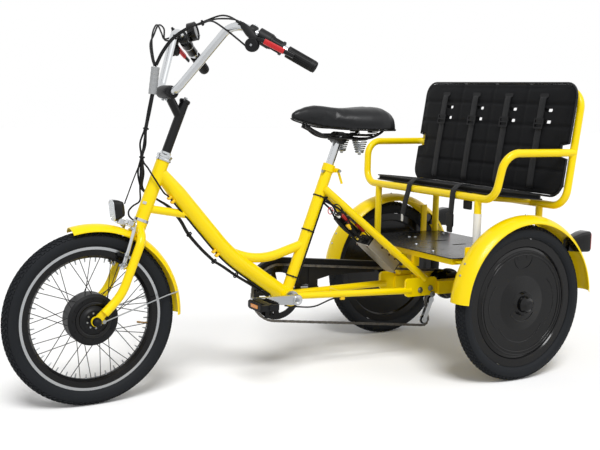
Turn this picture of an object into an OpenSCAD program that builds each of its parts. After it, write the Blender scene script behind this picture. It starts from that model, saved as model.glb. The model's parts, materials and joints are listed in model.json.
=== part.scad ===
// Electric tricycle with a front hub motor and a rear passenger bench.
// Millimetres. The nose points to -X, the left side to -Y, +Z is up.
// The origin is on the floor, under the middle of the whole vehicle.

/* [Wheels] */
// Distance between the front and rear axles
wheelbase = 1307; // [1250:1:1380]
// Distance between the middle planes of the rear wheels
track = 734; // [720:1:780]
// Outer radius of each tyre
wheel_r = 255; // [250:1:262]
// Width of each tyre
tyre_w = 52; // [46:1:56]
// Height of each tyre above its rim
tyre_h = 46; // [43:1:49]
// Width of each rim
rim_w = 30; // [26:1:34]
// Height of each rim
rim_h = 32; // [26:1:38]
// Radius of the front hub motor
motor_r = 75; // [66:1:82]
// Width of the front hub motor
motor_w = 56; // [48:1:58]
// Number of front spokes
spoke_count = 36; // [28:4:40]
// Radius of a spoke
spoke_r = 1.2; // [0.9:0.1:1.5]
// Radius of the fixed front axle
front_axle_r = 6; // [5:0.5:7]
// Radius of each rear half shaft
shaft_r = 8.5; // [7:0.5:10]

/* [Steering] */
// Angle of the steering axis to the floor
head_angle = 68.5; // [67:0.5:70]
// Distance from the front axle to the steering axis
fork_offset = 43; // [36:1:48]
// Distance from the front tyre's top to the head tube's lower end, along the steering axis
head_gap = 64; // [60:1:70]
// Length of the head tube
head_len = 184; // [175:1:195]
// Radius of the head tube
head_r = 20; // [19:0.5:22]
// Radius of the fork's steerer
steerer_r = 14.2; // [13.5:0.1:14.5]
// Radius of each fork leg
leg_r = 13; // [12:0.5:14]
// Distance from the wheel's middle plane to each fork leg
leg_y = 56; // [54:1:60]
// Height of the stem above the head tube
stem_rise = 170; // [150:1:190]
// Radius of the stem's tubes
stem_r = 14; // [13:0.5:15]
// Radius of the handlebar
bar_r = 12; // [11:0.1:12.7]
// How far the handlebar's clamp stands ahead of the steering axis
bar_ahead = 62; // [55:1:70]
// Height of the handlebar's clamp above the head tube
bar_clamp_rise = 188; // [180:1:196]
// Rise of the handlebar from its clamp to its upper bends
bar_rise = 228; // [200:1:250]
// Half the distance between the handlebar's upper bends
bar_bend_y = 200; // [185:1:215]
// Half the width of the handlebar
bar_half_w = 350; // [335:1:370]
// How far the handlebar's ends lie behind the steering axis
bar_back = 174; // [150:1:190]
// How far the handlebar's ends lie below its upper bends
bar_drop = 51; // [40:1:65]
// Length of each grip
grip_len = 84; // [75:1:95]
// Radius of each grip
grip_r = 17; // [15:0.5:18]

/* [Frame] */
// How far the bottom bracket lies ahead of the rear axle
bb_ahead = 660; // [650:1:675]
// Height of the bottom bracket above the rear axle
bb_rise = 11; // [5:1:20]
// Radius of the bottom bracket shell
bb_r = 27; // [26.5:0.5:29]
// Width of the bottom bracket shell
bb_w = 80; // [76:1:84]
// Radius of the down tube
down_r = 26; // [23:0.5:26]
// Angle of the seat tube to the floor
seat_angle = 69.5; // [68:0.5:71]
// Length of the seat tube from the bottom bracket
seat_len = 422; // [410:1:440]
// Radius of the seat tube
seat_r = 18; // [17:0.5:19]
// Radius of the seat post
post_r = 13.5; // [12.5:0.1:14]
// Height of the saddle's clamp above the seat tube
post_rise = 112; // [90:1:150]
// Radius of each seat stay
stay_r = 12.5; // [11:0.5:13]
// Radius of each chain stay
chainstay_r = 11; // [10:0.5:12]
// Distance from the middle to each rear dropout
dropout_y = 74; // [72:1:78]
// Thickness of a rear dropout
dropout_t = 10; // [8:1:12]

/* [Load bed] */
// Height of the load bed's top above the rear axle
bed_rise = 145; // [135:1:155]
// Length of the load bed
bed_l = 390; // [370:1:400]
// Width of the load bed
bed_w = 570; // [550:1:580]
// How far the load bed reaches behind the rear axle
bed_back = 175; // [165:1:180]
// Thickness of the load bed's plate
plate_t = 3; // [2:0.5:5]
// Height of the load bed's frame rails
rail_h = 20; // [16:1:24]
// Width of the load bed's frame rails
rail_w = 25; // [20:1:30]
// Radius of the load bed's bolt holes
bed_hole_r = 4.5; // [3:0.5:6]
// Spacing of the load bed's bolt holes along the vehicle
bed_hole_x = 200; // [160:1:240]
// Spacing of the load bed's bolt holes across the vehicle
bed_hole_y = 240; // [200:1:300]

/* [Bench] */
// Radius of the bench's tubes
bench_r = 12.5; // [11:0.5:13]
// Half the width of the bench's back frame
bench_half_w = 390; // [380:1:395]
// Height of the bench's front rail above the load bed
bench_rise = 188; // [175:1:200]
// How far the bench's front rail lies ahead of the rear axle
bench_ahead = 109; // [100:1:120]
// How far the bench's rear rail lies behind the rear axle
bench_behind = 160; // [150:1:165]
// How far the seat falls from front to back
seat_fall = 26; // [15:1:35]
// Height of the back frame above the rear rail
back_h = 375; // [350:1:400]
// How far the back frame's top leans behind its foot
back_lean = 59; // [45:1:70]
// Height of the armrests above the front rail
arm_h = 150; // [140:1:170]
// Thickness of the seat pad
pad_t = 22; // [16:1:28]
// Thickness of the back pad
back_pad_t = 25; // [18:1:30]
// Width of a harness strap
strap_w = 32; // [25:1:40]

/* [Drive] */
// Distance of the chain from the middle of the vehicle
chain_y = 50; // [49:0.5:51]
// Pitch radius of the chainring
ring_r = 93; // [85:1:97]
// Pitch radius of the rear sprocket
sprocket_r = 38; // [34:1:42]
// Pitch radius of a derailleur pulley
pulley_r = 21; // [19:1:23]
// Length of a crank arm
crank_len = 152; // [145:1:165]
// Angle by which the left crank points above straight ahead
crank_angle = 3; // [0:1:20]
// Radius of the crank spindle
spindle_r = 8.5; // [7:0.5:10]
// Length of a pedal across the vehicle
pedal_l = 92; // [80:1:100]
// Width of a pedal along the vehicle
pedal_w = 64; // [56:1:72]

/* [Fenders] */
// Distance from the front tyre to the front fender's outside
front_fender_gap = 19; // [17:1:27]
// Width of the front fender
front_fender_w = 64; // [60:1:68]
// Distance from a rear tyre to its fender's outside
rear_fender_gap = 29; // [27:1:35]
// Width of the rear fenders
rear_fender_w = 84; // [78:1:88]
// Thickness of the fenders
fender_t = 2; // [1.5:0.5:3]

/* [Hidden] */

$fn = 48;
hull_fn = 24;

// Clearances
seat_gap = 0.3;
run_gap = 0.1;

// A bend is this much thicker than its tube, and the tube runs this far into it
bend_step = 0.06;
bend_lap = 1;

// Paint and material colours
yellow = "#ffd500";
black = "#1c1c1e";
silver = "#c9ccd0";
steel = "#8d9196";
chrome = "#dfe3e6";
red = "#c8141c";

// Radii that follow the tyres, and heights that follow the rear axle
rim_r = wheel_r - tyre_h;
rim_inner_r = rim_r - rim_h;
front_fender_r = wheel_r + front_fender_gap;
rear_fender_r = wheel_r + rear_fender_gap;
bb_z = wheel_r + bb_rise;
bed_z = wheel_r + bed_rise;
bench_z = bed_z + bench_rise;
head_start = wheel_r + head_gap;

// Places of the axles and of the whole along X
fender_low = 4;
rear_fender_x = 15;
lamp_rise = 185;
lamp_seat = rear_fender_x + sqrt(rear_fender_r * rear_fender_r - lamp_rise * lamp_rise);
lamp_front = lamp_seat - 30.5;
lamp_back = lamp_seat + 65.5;
front_fender_x = 5;
rear_reach = max(lamp_back, rear_fender_x + rear_fender_r * cos(fender_low));
rear_x = (wheelbase + wheel_r - rear_reach) / 2;
front_x = rear_x - wheelbase;

// Steering axis: its foot is the point nearest to the front axle
steer_x = front_x + fork_offset * sin(head_angle);
steer_z = wheel_r - fork_offset * cos(head_angle);
head_end = head_start + head_len;
cup_h = 8;
nut_h = 9;
crown_top = head_start - cup_h - seat_gap;
crown_h = 30;
stem_top = head_end + cup_h + nut_h + stem_rise;
bar_clamp_s = head_end + bar_clamp_rise;

// Handlebar points in the steering frame: end, upper bend and lower bend of the left side
bar_low_y = 55;
bar_bend_ahead = 29;
bar_end = [bar_back, -bar_half_w, bar_clamp_s + bar_rise - bar_drop];
bar_bend = [-bar_bend_ahead, -bar_bend_y, bar_clamp_s + bar_rise];
bar_low = [-bar_ahead, -bar_low_y, bar_clamp_s];
grip_axis = (bar_end - bar_bend) / norm(bar_end - bar_bend);

// Frame points, from the rear axle along X
bb = [-bb_ahead, 0, bb_z];
seat_axis = [cos(seat_angle), 0, sin(seat_angle)];
seat_top = bb + seat_len * seat_axis;
post_top = seat_top + post_rise * seat_axis;
saddle_x = post_top.x;
saddle_under = post_top.z + 44;
stay_top_drop = 55;
stay_top_y = 14;
stay_top = seat_top - stay_top_drop * seat_axis + [0, stay_top_y, 0];
stay_foot = [-154, dropout_y, wheel_r + 39];
chainstay_foot = [-214, dropout_y, wheel_r + 4];
chainstay_top_y = 20;
stay_slope = atan((stay_top.z - stay_foot.z) / (stay_foot.x - stay_top.x));
bridge_r = 8;
pouch_bridge = 0.28;
controller_bridge = 0.62;
function on_stay(share) = stay_top + share * (stay_foot - stay_top);

// Down tube: where it leaves the head tube and where it bends
down_rise = head_start + 148;
head_axis = [cos(head_angle), 0, sin(head_angle)];
down_top = [steer_x - rear_x, 0, steer_z] + down_rise * head_axis;
down_bend = [bb.x - 208, 0, bb.z + 146];
down_bend_r = 480;

// Rear carrier
beam_w = 30;
beam_h = 45;
axle_tube_r = 20;
axle_tube_end = track / 2 - tyre_w / 2 - 28;

// Load bed
bed_front = bed_back - bed_l;
rail_top = bed_z - plate_t;

// Bench
rear_rail_z = bench_z - seat_fall;
seat_slope = atan(seat_fall / (bench_ahead + bench_behind));
back_slope = atan(back_lean / back_h);
leg_inset = 10;
bench_leg_y = bed_w / 2 - leg_inset;
bench_leg_r = bench_r - 0.5;

// Rear fenders' inner edge and the rear lamps
fender_crown = 0.62;
function edge_drop(w) = w * (fender_crown - sqrt(fender_crown * fender_crown - 0.25));
rear_edge_r = rear_fender_r - edge_drop(rear_fender_w);
lamp_z = wheel_r + lamp_rise;
lamp_h = 70;
lamp_w = 50;
lens_t = 8;

// Front brake: height of its pads and of its pivots along the steering axis
pad_s = rim_r - 8;
boss_s = pad_s - 29;

// Front fender stays are held at an eyelet behind each front dropout
drop_t = 6;
drop_y = leg_y - 6;
eyelet_r = 6.5;
eyelet = [22, 0, -2];

// Brake levers' clamps, from the handlebar's ends, and where the cables meet them
lever_at = 208;
lever_l = 34;
lever_ahead = bar_r + 14;
grip_side = unit([-grip_axis.y, grip_axis.x, 0]);
lever_tilt = 45;
grip_level = norm([grip_axis.x, grip_axis.y]);
grip_down = [grip_axis.z * grip_axis.x, grip_axis.z * grip_axis.y, -grip_level * grip_level] / grip_level;
lever_way = sin(lever_tilt) * grip_down - cos(lever_tilt) * grip_side;
lever_mouth = bar_end - (lever_at - 10 + lever_l / 2 + seat_gap) * grip_axis + lever_ahead * lever_way;

function unit(v) = v / norm(v);
function turn_of(a, b, c) = acos(max(-1, min(1, unit(b - a) * unit(c - b))));
function trim_of(a, b, c, bend) = bend * tan(turn_of(a, b, c) / 2);
function flip(p) = [p.x, -p.y, p.z];

// Moves from the rear axle's foot to the vehicle's frame
module at_rear() {
  translate([rear_x, 0, 0])
    children();
}

// The steering frame: its Z runs up the steering axis, its -X points ahead
module at_steer() {
  translate([steer_x, 0, steer_z])
    rotate([0, 90 - head_angle, 0])
      children();
}

// One copy on each side of the vehicle
module both_sides() {
  children();
  mirror([0, 1, 0])
    children();
}

// Round bar between two points
module rod(a, b, r) {
  d = b - a;
  translate(a)
    rotate([0, acos(d.z / norm(d)), atan2(d.y, d.x)])
      cylinder(h = norm(d), r = r);
}

// Round bend at corner b of the path a, b, c
module elbow(a, b, c, r, bend) {
  u = unit(b - a);
  v = unit(c - b);
  m = unit(v - (u * v) * u);
  w = cross(u, m);
  o = b - u * trim_of(a, b, c, bend) + m * bend;
  multmatrix([[-m.x, u.x, w.x, o.x], [-m.y, u.y, w.y, o.y], [-m.z, u.z, w.z, o.z], [0, 0, 0, 1]])
    rotate_extrude(angle = turn_of(a, b, c))
      translate([bend, 0])
        circle(r + bend_step);
}

// Tube along a list of points, with one bend radius for each corner
module tube(pts, r, bends) {
  last = len(pts) - 1;
  for (i = [0:last - 1]) {
    u = unit(pts[i + 1] - pts[i]);
    head = i == 0 ? 0 : trim_of(pts[i - 1], pts[i], pts[i + 1], bends[i - 1]) - bend_lap;
    tail = i == last - 1 ? 0 : trim_of(pts[i], pts[i + 1], pts[i + 2], bends[i]) - bend_lap;
    rod(pts[i] + u * head, pts[i + 1] - u * tail, r);
  }
  for (i = [1:1:last - 1])
    elbow(pts[i - 1], pts[i], pts[i + 1], r, bends[i - 1]);
}

// Rounded rectangle about the origin
module rounded(w, h, r) {
  square([w - 2 * r, h], center = true);
  square([w, h - 2 * r], center = true);
  for (x = [-1, 1], y = [-1, 1])
    translate([x * (w / 2 - r), y * (h / 2 - r)])
      circle(r);
}

// Box given by its middle
module block(size) {
  cube(size, center = true);
}

// Plate about its middle plane, drawn as seen from the front and facing along X
module facing_back(t) {
  rotate([90, 0, 90])
    linear_extrude(t, center = true)
      children();
}

// Cylinder along Y, about its middle
module across(r, w) {
  rotate([90, 0, 0])
    cylinder(h = w, r = r, center = true);
}

// Frame: head tube, down tube, gusset, brace, seat tube and bottom bracket shell
module main_frame() {
  taper_l = 90;
  taper_end = down_top + (taper_l - bend_lap / 2) * unit(down_bend - down_top);
  gusset_rise = head_start + 33;
  gusset_top = [steer_x - rear_x, 0, steer_z] + gusset_rise * head_axis;
  gusset_foot = down_top + 0.52 * (down_bend - down_top);
  brace_start = down_bend + [-12, 0, 16];
  brace_low = [bb.x - 100, 0, bb.z + 117];
  brace_end = bb + 175 * seat_axis;
  post_bore_depth = 200;
  color(yellow)
    difference() {
      union() {
        at_steer()
          translate([0, 0, head_start])
            cylinder(h = head_len, r = head_r);
        at_rear() {
          translate(down_top)
            rotate([0, acos(unit(down_bend - down_top).z), 0])
              cylinder(h = taper_l, r1 = head_r - 1, r2 = down_r + bend_step);
          tube([taper_end, down_bend, bb], down_r, [down_bend_r]);
          rod(gusset_top, gusset_foot, 12);
          tube([brace_start, brace_low, brace_end], 15, [230]);
          rod(bb, seat_top, seat_r);
          translate(bb)
            across(bb_r, bb_w);
        }
      }
      at_steer()
        translate([0, 0, head_start - 5])
          cylinder(h = head_len + 10, r = steerer_r + 1.3);
      at_rear() {
        translate(bb)
          across(spindle_r + run_gap, bb_w + 10);
        rod(seat_top - post_bore_depth * seat_axis, seat_top + 5 * seat_axis, post_r + run_gap);
      }
    }
}

// Seat stays, chain stays, their bridges and the rear dropouts
module rear_stays() {
  stay_start = [bb.x + 10, chainstay_top_y, bb.z + 1];
  chainstay_mid = stay_start + 0.42 * (chainstay_foot - stay_start);
  plate_l = 130;
  plate_h = 62;
  plate_x = -172;
  plate_rise = 14;
  color(yellow)
    at_rear()
      difference() {
        union() {
          both_sides() {
            rod(stay_top, stay_foot, stay_r);
            rod(stay_start, chainstay_foot, chainstay_r);
            translate([plate_x, dropout_y, wheel_r + plate_rise])
              rotate([90, 0, 0])
                linear_extrude(dropout_t, center = true)
                  rounded(plate_l, plate_h, 13);
          }
          for (share = [pouch_bridge, controller_bridge])
            rod(on_stay(share), flip(on_stay(share)), bridge_r);
          rod(chainstay_mid, flip(chainstay_mid), bridge_r);
        }
        rod(bb, seat_top, seat_r);
        translate(bb)
          across(bb_r, bb_w);
      }
}

// Rear carrier: side beams, axle tubes, cross member and posts for the load bed
module axle_carrier() {
  beam_front = -105;
  beam_back = 90;
  beam_z = wheel_r + 7;
  tongue_t = 6;
  tongue_l = 75;
  tongue_y = dropout_y - dropout_t / 2 - tongue_t / 2 - seat_gap;
  cross_w = 22;
  post_y = 230;
  post_top = rail_top - rail_h - seat_gap;
  color(yellow)
    at_rear()
      difference() {
        union() {
          both_sides() {
            translate([(beam_front + beam_back) / 2, dropout_y, beam_z])
              block([beam_back - beam_front, beam_w, beam_h]);
            translate([beam_front - tongue_l / 2 + 3, tongue_y, beam_z])
              block([tongue_l, tongue_t, beam_h - 4]);
            translate([0, (dropout_y + axle_tube_end) / 2, wheel_r])
              across(axle_tube_r, axle_tube_end - dropout_y);
            translate([0, post_y, (wheel_r + post_top) / 2])
              block([rail_w, rail_w, post_top - wheel_r]);
          }
          translate([beam_back - cross_w / 2, 0, beam_z])
            block([cross_w, 2 * dropout_y, cross_w]);
        }
        translate([0, 0, wheel_r])
          across(shaft_r + run_gap, 2 * axle_tube_end + 10);
      }
}

// Headset cups, pressed on the ends of the head tube
module headset_cups() {
  color(chrome)
    at_steer()
      for (s = [head_start - cup_h, head_end])
        translate([0, 0, s])
          difference() {
            cylinder(h = cup_h, r = head_r + 2.5);
            translate([0, 0, -1])
              cylinder(h = cup_h + 2, r = steerer_r + run_gap);
          }
}

// Bottom bracket cups on the ends of the shell
module bottom_bracket_cups() {
  cup_t = 6;
  color(silver)
    at_rear()
      translate(bb)
        both_sides()
          translate([0, bb_w / 2 + cup_t / 2, 0])
            difference() {
              across(bb_r - 4, cup_t);
              across(spindle_r + run_gap, cup_t + 2);
            }
}

// Rectangular frame under the load bed, with feet on the seat stays and arms to the fenders
module bed_frame() {
  inset = 10;
  frame_l = bed_l - 2 * inset;
  frame_w = bed_w - 2 * inset;
  mid_x = (bed_front + bed_back) / 2;
  rail_z = rail_top - rail_h / 2;
  foot_y = 66;
  foot_w = 14;
  foot_h = 46;
  arm_w = 24;
  arm_t = 6;
  arm_y = track / 2 - rear_fender_w / 2 - seat_gap;
  arm_places = [mid_x - frame_l / 2 + arm_w, mid_x + frame_l / 2 - arm_w];
  arm_over = 10;
  color(yellow)
    at_rear() {
      translate([mid_x, 0, rail_z])
        difference() {
          block([frame_l, frame_w, rail_h]);
          block([frame_l - 2 * rail_w, frame_w - 2 * rail_w, rail_h + 2]);
        }
      translate([0, 0, rail_z])
        block([rail_w, frame_w - inset, rail_h]);
      both_sides() {
        difference() {
          translate([mid_x - frame_l / 2 + rail_w / 2, foot_y, rail_z - foot_h / 2])
            block([rail_w - 2, foot_w, foot_h]);
          rod(stay_top, stay_foot, stay_r + seat_gap);
        }
        for (x = arm_places) {
          arm_top = wheel_r + sqrt(rear_edge_r * rear_edge_r - pow(x - rear_fender_x, 2)) + arm_over;
          translate([x, (frame_w / 2 - 5 + arm_y) / 2, rail_z])
            block([arm_w, arm_y - frame_w / 2 + 5, arm_t]);
          translate([x, arm_y - arm_t / 2, (rail_z - arm_t / 2 + arm_top) / 2])
            block([arm_w, arm_t, arm_top - rail_z + arm_t / 2]);
        }
      }
    }
}

// Plate of the load bed, with bolt holes and two hand slots
module bed_plate() {
  slot_l = 60;
  slot_w = 14;
  color(black)
    at_rear()
      translate([(bed_front + bed_back) / 2, 0, rail_top])
        linear_extrude(plate_t)
          difference() {
            rounded(bed_l, bed_w, 18);
            for (x = [-1, 1], y = [-1, 1])
              translate([x * bed_hole_x / 2, y * bed_hole_y / 2])
                circle(bed_hole_r);
            for (y = [-1, 1])
              translate([30, y * 50])
                rounded(slot_l, slot_w, slot_w / 2 - 0.1);
          }
}

// Bench: back frame, armrests with the front rail, seat rails and legs
module bench_frame() {
  back_top_x = bench_behind + back_lean;
  arm_z = bench_z + arm_h;
  arm_x = bench_behind + back_lean * (arm_z - rear_rail_z) / back_h;
  arm_front = [-bench_ahead + 17, -(bench_half_w - 14), arm_z];
  arm_foot = [-bench_ahead, -(bench_half_w - 38), bench_z];
  rear_foot = [bench_behind, -bench_half_w, rear_rail_z];
  back_top = [back_top_x, -bench_half_w + 4, rear_rail_z + back_h];
  rear_mid = [bench_behind, -bend_lap, rear_rail_z];
  rear_centre = [bench_behind, 0, rear_rail_z];
  arm_end = [arm_x, -bench_half_w, arm_z];
  seat_rail_r = 10;
  seat_rail_lift = bench_r - seat_rail_r;
  leg_foot = bed_z + seat_gap;
  color(yellow)
    at_rear() {
      tube([rear_mid, rear_foot, back_top, flip(back_top), flip(rear_foot), flip(rear_mid)],
        bench_r, [55, 60, 60, 55]);
      rod(3 * rear_mid - 2 * rear_centre, 3 * flip(rear_mid) - 2 * rear_centre,
        bench_r + bend_step);
      tube([arm_end, arm_front, arm_foot, flip(arm_foot), flip(arm_front), flip(arm_end)],
        bench_r, [60, 55, 55, 60]);
      both_sides() {
        rod([-bench_ahead, bench_leg_y - 40, bench_z + seat_rail_lift],
          [bench_behind, bench_leg_y - 40, rear_rail_z + seat_rail_lift], seat_rail_r);
        rod([-bench_ahead, bench_leg_y, leg_foot], [-bench_ahead, bench_leg_y, bench_z], bench_leg_r);
        rod([bench_behind, bench_leg_y, leg_foot], [bench_behind, bench_leg_y, rear_rail_z],
          bench_leg_r);
      }
    }
}

// Seat pad, laid on the bench's rails
module seat_pad() {
  pad_front = 20;
  pad_l = bench_ahead + bench_behind - 52;
  pad_w = 2 * bench_half_w - 120;
  color(black)
    at_rear()
      translate([-bench_ahead, 0, bench_z])
        rotate([0, seat_slope, 0])
          translate([pad_front + pad_l / 2, 0, bench_r + seat_gap])
            linear_extrude(pad_t)
              rounded(pad_l, pad_w, 40);
}

// Back pad in front of the back frame, notched at the armrests
module back_pad() {
  pad_low = 48;
  pad_over = 22;
  pad_h = back_h / cos(back_slope) + pad_over - pad_low;
  pad_w = 2 * bench_half_w - 20;
  notch_h = 50;
  notch_w = 46;
  arm_rise = (arm_h + seat_fall) / cos(back_slope);
  color(black)
    at_rear()
      translate([bench_behind, 0, rear_rail_z])
        rotate([0, back_slope, 0])
          translate([-bench_r - seat_gap, 0, pad_low + pad_h / 2])
            rotate([90, 0, -90])
              linear_extrude(back_pad_t)
                difference() {
                  rounded(pad_w, pad_h, 48);
                  for (y = [-1, 1])
                    translate([y * pad_w / 2, arm_rise - pad_low - pad_h / 2])
                      square([notch_w, notch_h], center = true);
                }
}

// Shoulder straps down the front of the back pad, with their slide adjusters
module harness() {
  strap_t = 2.5;
  strap_low = 90;
  strap_top = 372;
  strap_pitch = 170;
  adjuster_z = 302;
  adjuster_t = 4;
  color(black)
    at_rear()
      translate([bench_behind, 0, rear_rail_z])
        rotate([0, back_slope, 0])
          for (i = [-1.5:1:1.5])
            translate([-bench_r - 2 * seat_gap - back_pad_t - strap_t / 2, i * strap_pitch, 0]) {
              translate([0, 0, (strap_low + strap_top) / 2])
                block([strap_t, strap_w, strap_top - strap_low]);
              translate([-adjuster_t / 2 - strap_t / 2 + 0.5, 0, adjuster_z])
                facing_back(adjuster_t)
                  difference() {
                    rounded(strap_w + 10, 36, 5);
                    for (z = [-8, 8])
                      translate([0, z])
                        square([strap_w - 2, 9], center = true);
                  }
            }
}

// Lap straps hung from the front rail, with their side-release buckles
module lap_buckles() {
  strap_t = 2.6;
  buckle_t = 11;
  buckle_h = 56;
  hang = 95;
  color(black)
    at_rear()
      for (y = [-60, 40])
        translate([-bench_ahead - bench_r - seat_gap - strap_t / 2, y, bench_z + 7]) {
          translate([0, 0, -hang / 2])
            block([strap_t, strap_w - 4, hang - 20]);
          translate([strap_t / 2 - buckle_t / 2 - 0.2, 0, buckle_h / 2 - hang])
            facing_back(buckle_t)
              difference() {
                rounded(strap_w + 6, buckle_h, 9);
                for (side = [-1, 1])
                  translate([side * (strap_w / 2 + 3), 4])
                    circle(7);
              }
        }
}

// Arched fender shell about the axle: outer radius, width, crown and the angles of its ends
module fender_shell(r, w, t, from, to) {
  crown_r = fender_crown * w;
  rotate([90, 0, 0])
    rotate([0, 0, from])
      rotate_extrude(angle = to - from)
        translate([r - crown_r, 0])
          intersection() {
            difference() {
              circle(crown_r);
              circle(crown_r - t);
            }
            translate([0, -w / 2])
              square([crown_r + 1, w]);
          }
}

// Rear fender on the left
module fender_rear_left() {
  color(yellow)
    at_rear()
      translate([rear_fender_x, -track / 2, wheel_r])
        fender_shell(rear_fender_r, rear_fender_w, fender_t, fender_low, 180 - fender_low);
}

// Rear fender on the right
module fender_rear_right() {
  color(yellow)
    mirror([0, 1, 0])
      at_rear()
        translate([rear_fender_x, -track / 2, wheel_r])
          fender_shell(rear_fender_r, rear_fender_w, fender_t, fender_low, 180 - fender_low);
}

// Wedge housings of the rear lamps, on the back of the fenders
module rear_lamps() {
  lamp_l = lamp_back - lens_t - lamp_front;
  rim_l = 14;
  share = 0.55;
  corner = 9;
  color(black)
    at_rear()
      both_sides()
        difference() {
          translate([lamp_front, track / 2, lamp_z])
            hull($fn = hull_fn) {
              facing_back(1)
                rounded(share * lamp_w, share * lamp_h, share * corner);
              translate([lamp_l - rim_l / 2, 0, 0])
                facing_back(rim_l)
                  rounded(lamp_w, lamp_h, corner);
            }
          translate([rear_fender_x, track / 2, wheel_r])
            across(rear_fender_r + seat_gap, lamp_w + 10);
        }
}

// Red lenses of the rear lamps
module rear_lenses() {
  lens_edge = 2;
  color(red)
    at_rear()
      both_sides()
        translate([lamp_back - lens_t / 2 + seat_gap / 2, track / 2, lamp_z])
          facing_back(lens_t - seat_gap)
            rounded(lamp_w - 2 * lens_edge, lamp_h - 2 * lens_edge, 7);
}

// Clamp collar at the top of the seat tube, with its quick-release lever
module seat_collar() {
  collar_h = 24;
  bolt_y = 24;
  lever_reach = [16, 0, -42];
  ears = seat_top + collar_h / 2 * seat_axis + [seat_r + 4, 0, -7];
  pivot = ears - [0, bolt_y, 0];
  color(yellow)
    at_rear()
      difference() {
        union() {
          rod(seat_top + seat_gap * seat_axis, seat_top + collar_h * seat_axis, seat_r + 2.5);
          translate(ears)
            block([16, 30, 14]);
          rod(pivot, flip(pivot), 4.5);
          translate(pivot)
            across(7, 9);
          rod(pivot, pivot + lever_reach, 4);
        }
        rod(seat_top - 5 * seat_axis, seat_top + (collar_h + 5) * seat_axis, post_r + run_gap);
      }
}

// Seat post
module seat_post() {
  post_in = 150;
  color(chrome)
    at_rear()
      rod(seat_top - post_in * seat_axis, post_top, post_r);
}

// Wire wound about Z, from one radius to another
module coil(r1, r2, h, wire, turns) {
  steps = 16 * turns;
  sides = 6;
  points = [for (i = [0:steps], k = [0:sides - 1])
    let (t = i / steps, out = r1 + (r2 - r1) * t + wire * cos(k * 360 / sides))
    [out * cos(360 * turns * t), out * sin(360 * turns * t), h * t + wire * sin(k * 360 / sides)]];
  skin = [for (i = [0:steps - 1], k = [0:sides - 1])
    let (next_k = (k + 1) % sides)
    [i * sides + k, i * sides + next_k, (i + 1) * sides + next_k, (i + 1) * sides + k]];
  start = [for (k = [sides - 1:-1:0]) k];
  end = [for (k = [0:sides - 1]) steps * sides + k];
  polyhedron(points, concat(skin, [start], [end]));
}

// Saddle clamp, rails and conical springs
module saddle_frame() {
  rail_r = 4;
  rail_z = post_top.z + 14;
  rail_nose = 130;
  rail_knee = 70;
  rail_heel = 60;
  spring_y = 52;
  spring_back = 100;
  spring_x = saddle_x + spring_back;
  plate = 3;
  wire = 2;
  low_r = 17;
  top_r = 22;
  plate_low = rail_z + rail_r - 2;
  plate_top = saddle_under - seat_gap - plate;
  coil_low = plate_low + plate + wire + seat_gap;
  color(steel)
    at_rear() {
      difference() {
        union() {
          translate([saddle_x, 0, post_top.z + 4])
            across(20, 46);
          both_sides() {
            tube([[saddle_x - rail_nose, 12, saddle_under - rail_r - run_gap],
              [saddle_x - rail_knee, 18, rail_z],
              [saddle_x + rail_heel, 20, rail_z],
              [spring_x, spring_y, rail_z]], rail_r, [25, 25]);
            translate([spring_x, spring_y, plate_low])
              cylinder(h = plate, r = low_r);
          }
          translate([saddle_x + 40, 0, rail_z])
            across(5, 40);
        }
        rod(seat_top, post_top + run_gap * seat_axis, post_r + run_gap);
      }
      both_sides()
        translate([spring_x, spring_y, 0]) {
          translate([0, 0, plate_top])
            cylinder(h = plate, r = top_r);
          translate([0, 0, coil_low])
            coil(low_r - wire, top_r - wire, plate_top - wire - seat_gap - coil_low, wire, 3);
        }
    }
}

// Saddle: nose, middle and two rear lobes
module saddle() {
  cut_l = 500;
  // along X from the clamp, across Y, height above the underside, radius
  lobes = [[-155, 0, 24, 19], [-90, 0, 26, 28], [-10, 26, 25, 32], [106, 70, 24, 36], [130, 38, 27, 38]];
  color(black)
    at_rear()
      intersection() {
        hull($fn = hull_fn)
          for (p = lobes, y = [-1, 1])
            translate([saddle_x + p[0], y * p[1], saddle_under + p[2]])
              sphere(p[3], $fn = hull_fn);
        translate([saddle_x, 0, saddle_under + cut_l / 2])
          block([cut_l, cut_l, cut_l]);
      }
}

// Differential housing and rear sprockets around the half shafts
module rear_drive() {
  half = dropout_y - beam_w / 2 - seat_gap;
  neck_r = 20;
  case_r = 46;
  case_w = 60;
  case_y = -6;
  flange_r = 54;
  flange_w = 10;
  color(black)
    at_rear()
      translate([0, 0, wheel_r])
        difference() {
          union() {
            across(neck_r, 2 * half);
            translate([0, case_y, 0])
              across(case_r, case_w);
            translate([0, case_y, 0])
              across(flange_r, flange_w);
            translate([0, chain_y, 0])
              across(sprocket_r - link_clear, 5);
            translate([0, chain_y - 8, 0])
              across(sprocket_r + 6, 4);
          }
          across(shaft_r + run_gap, 2 * half + 10);
        }
}

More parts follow.
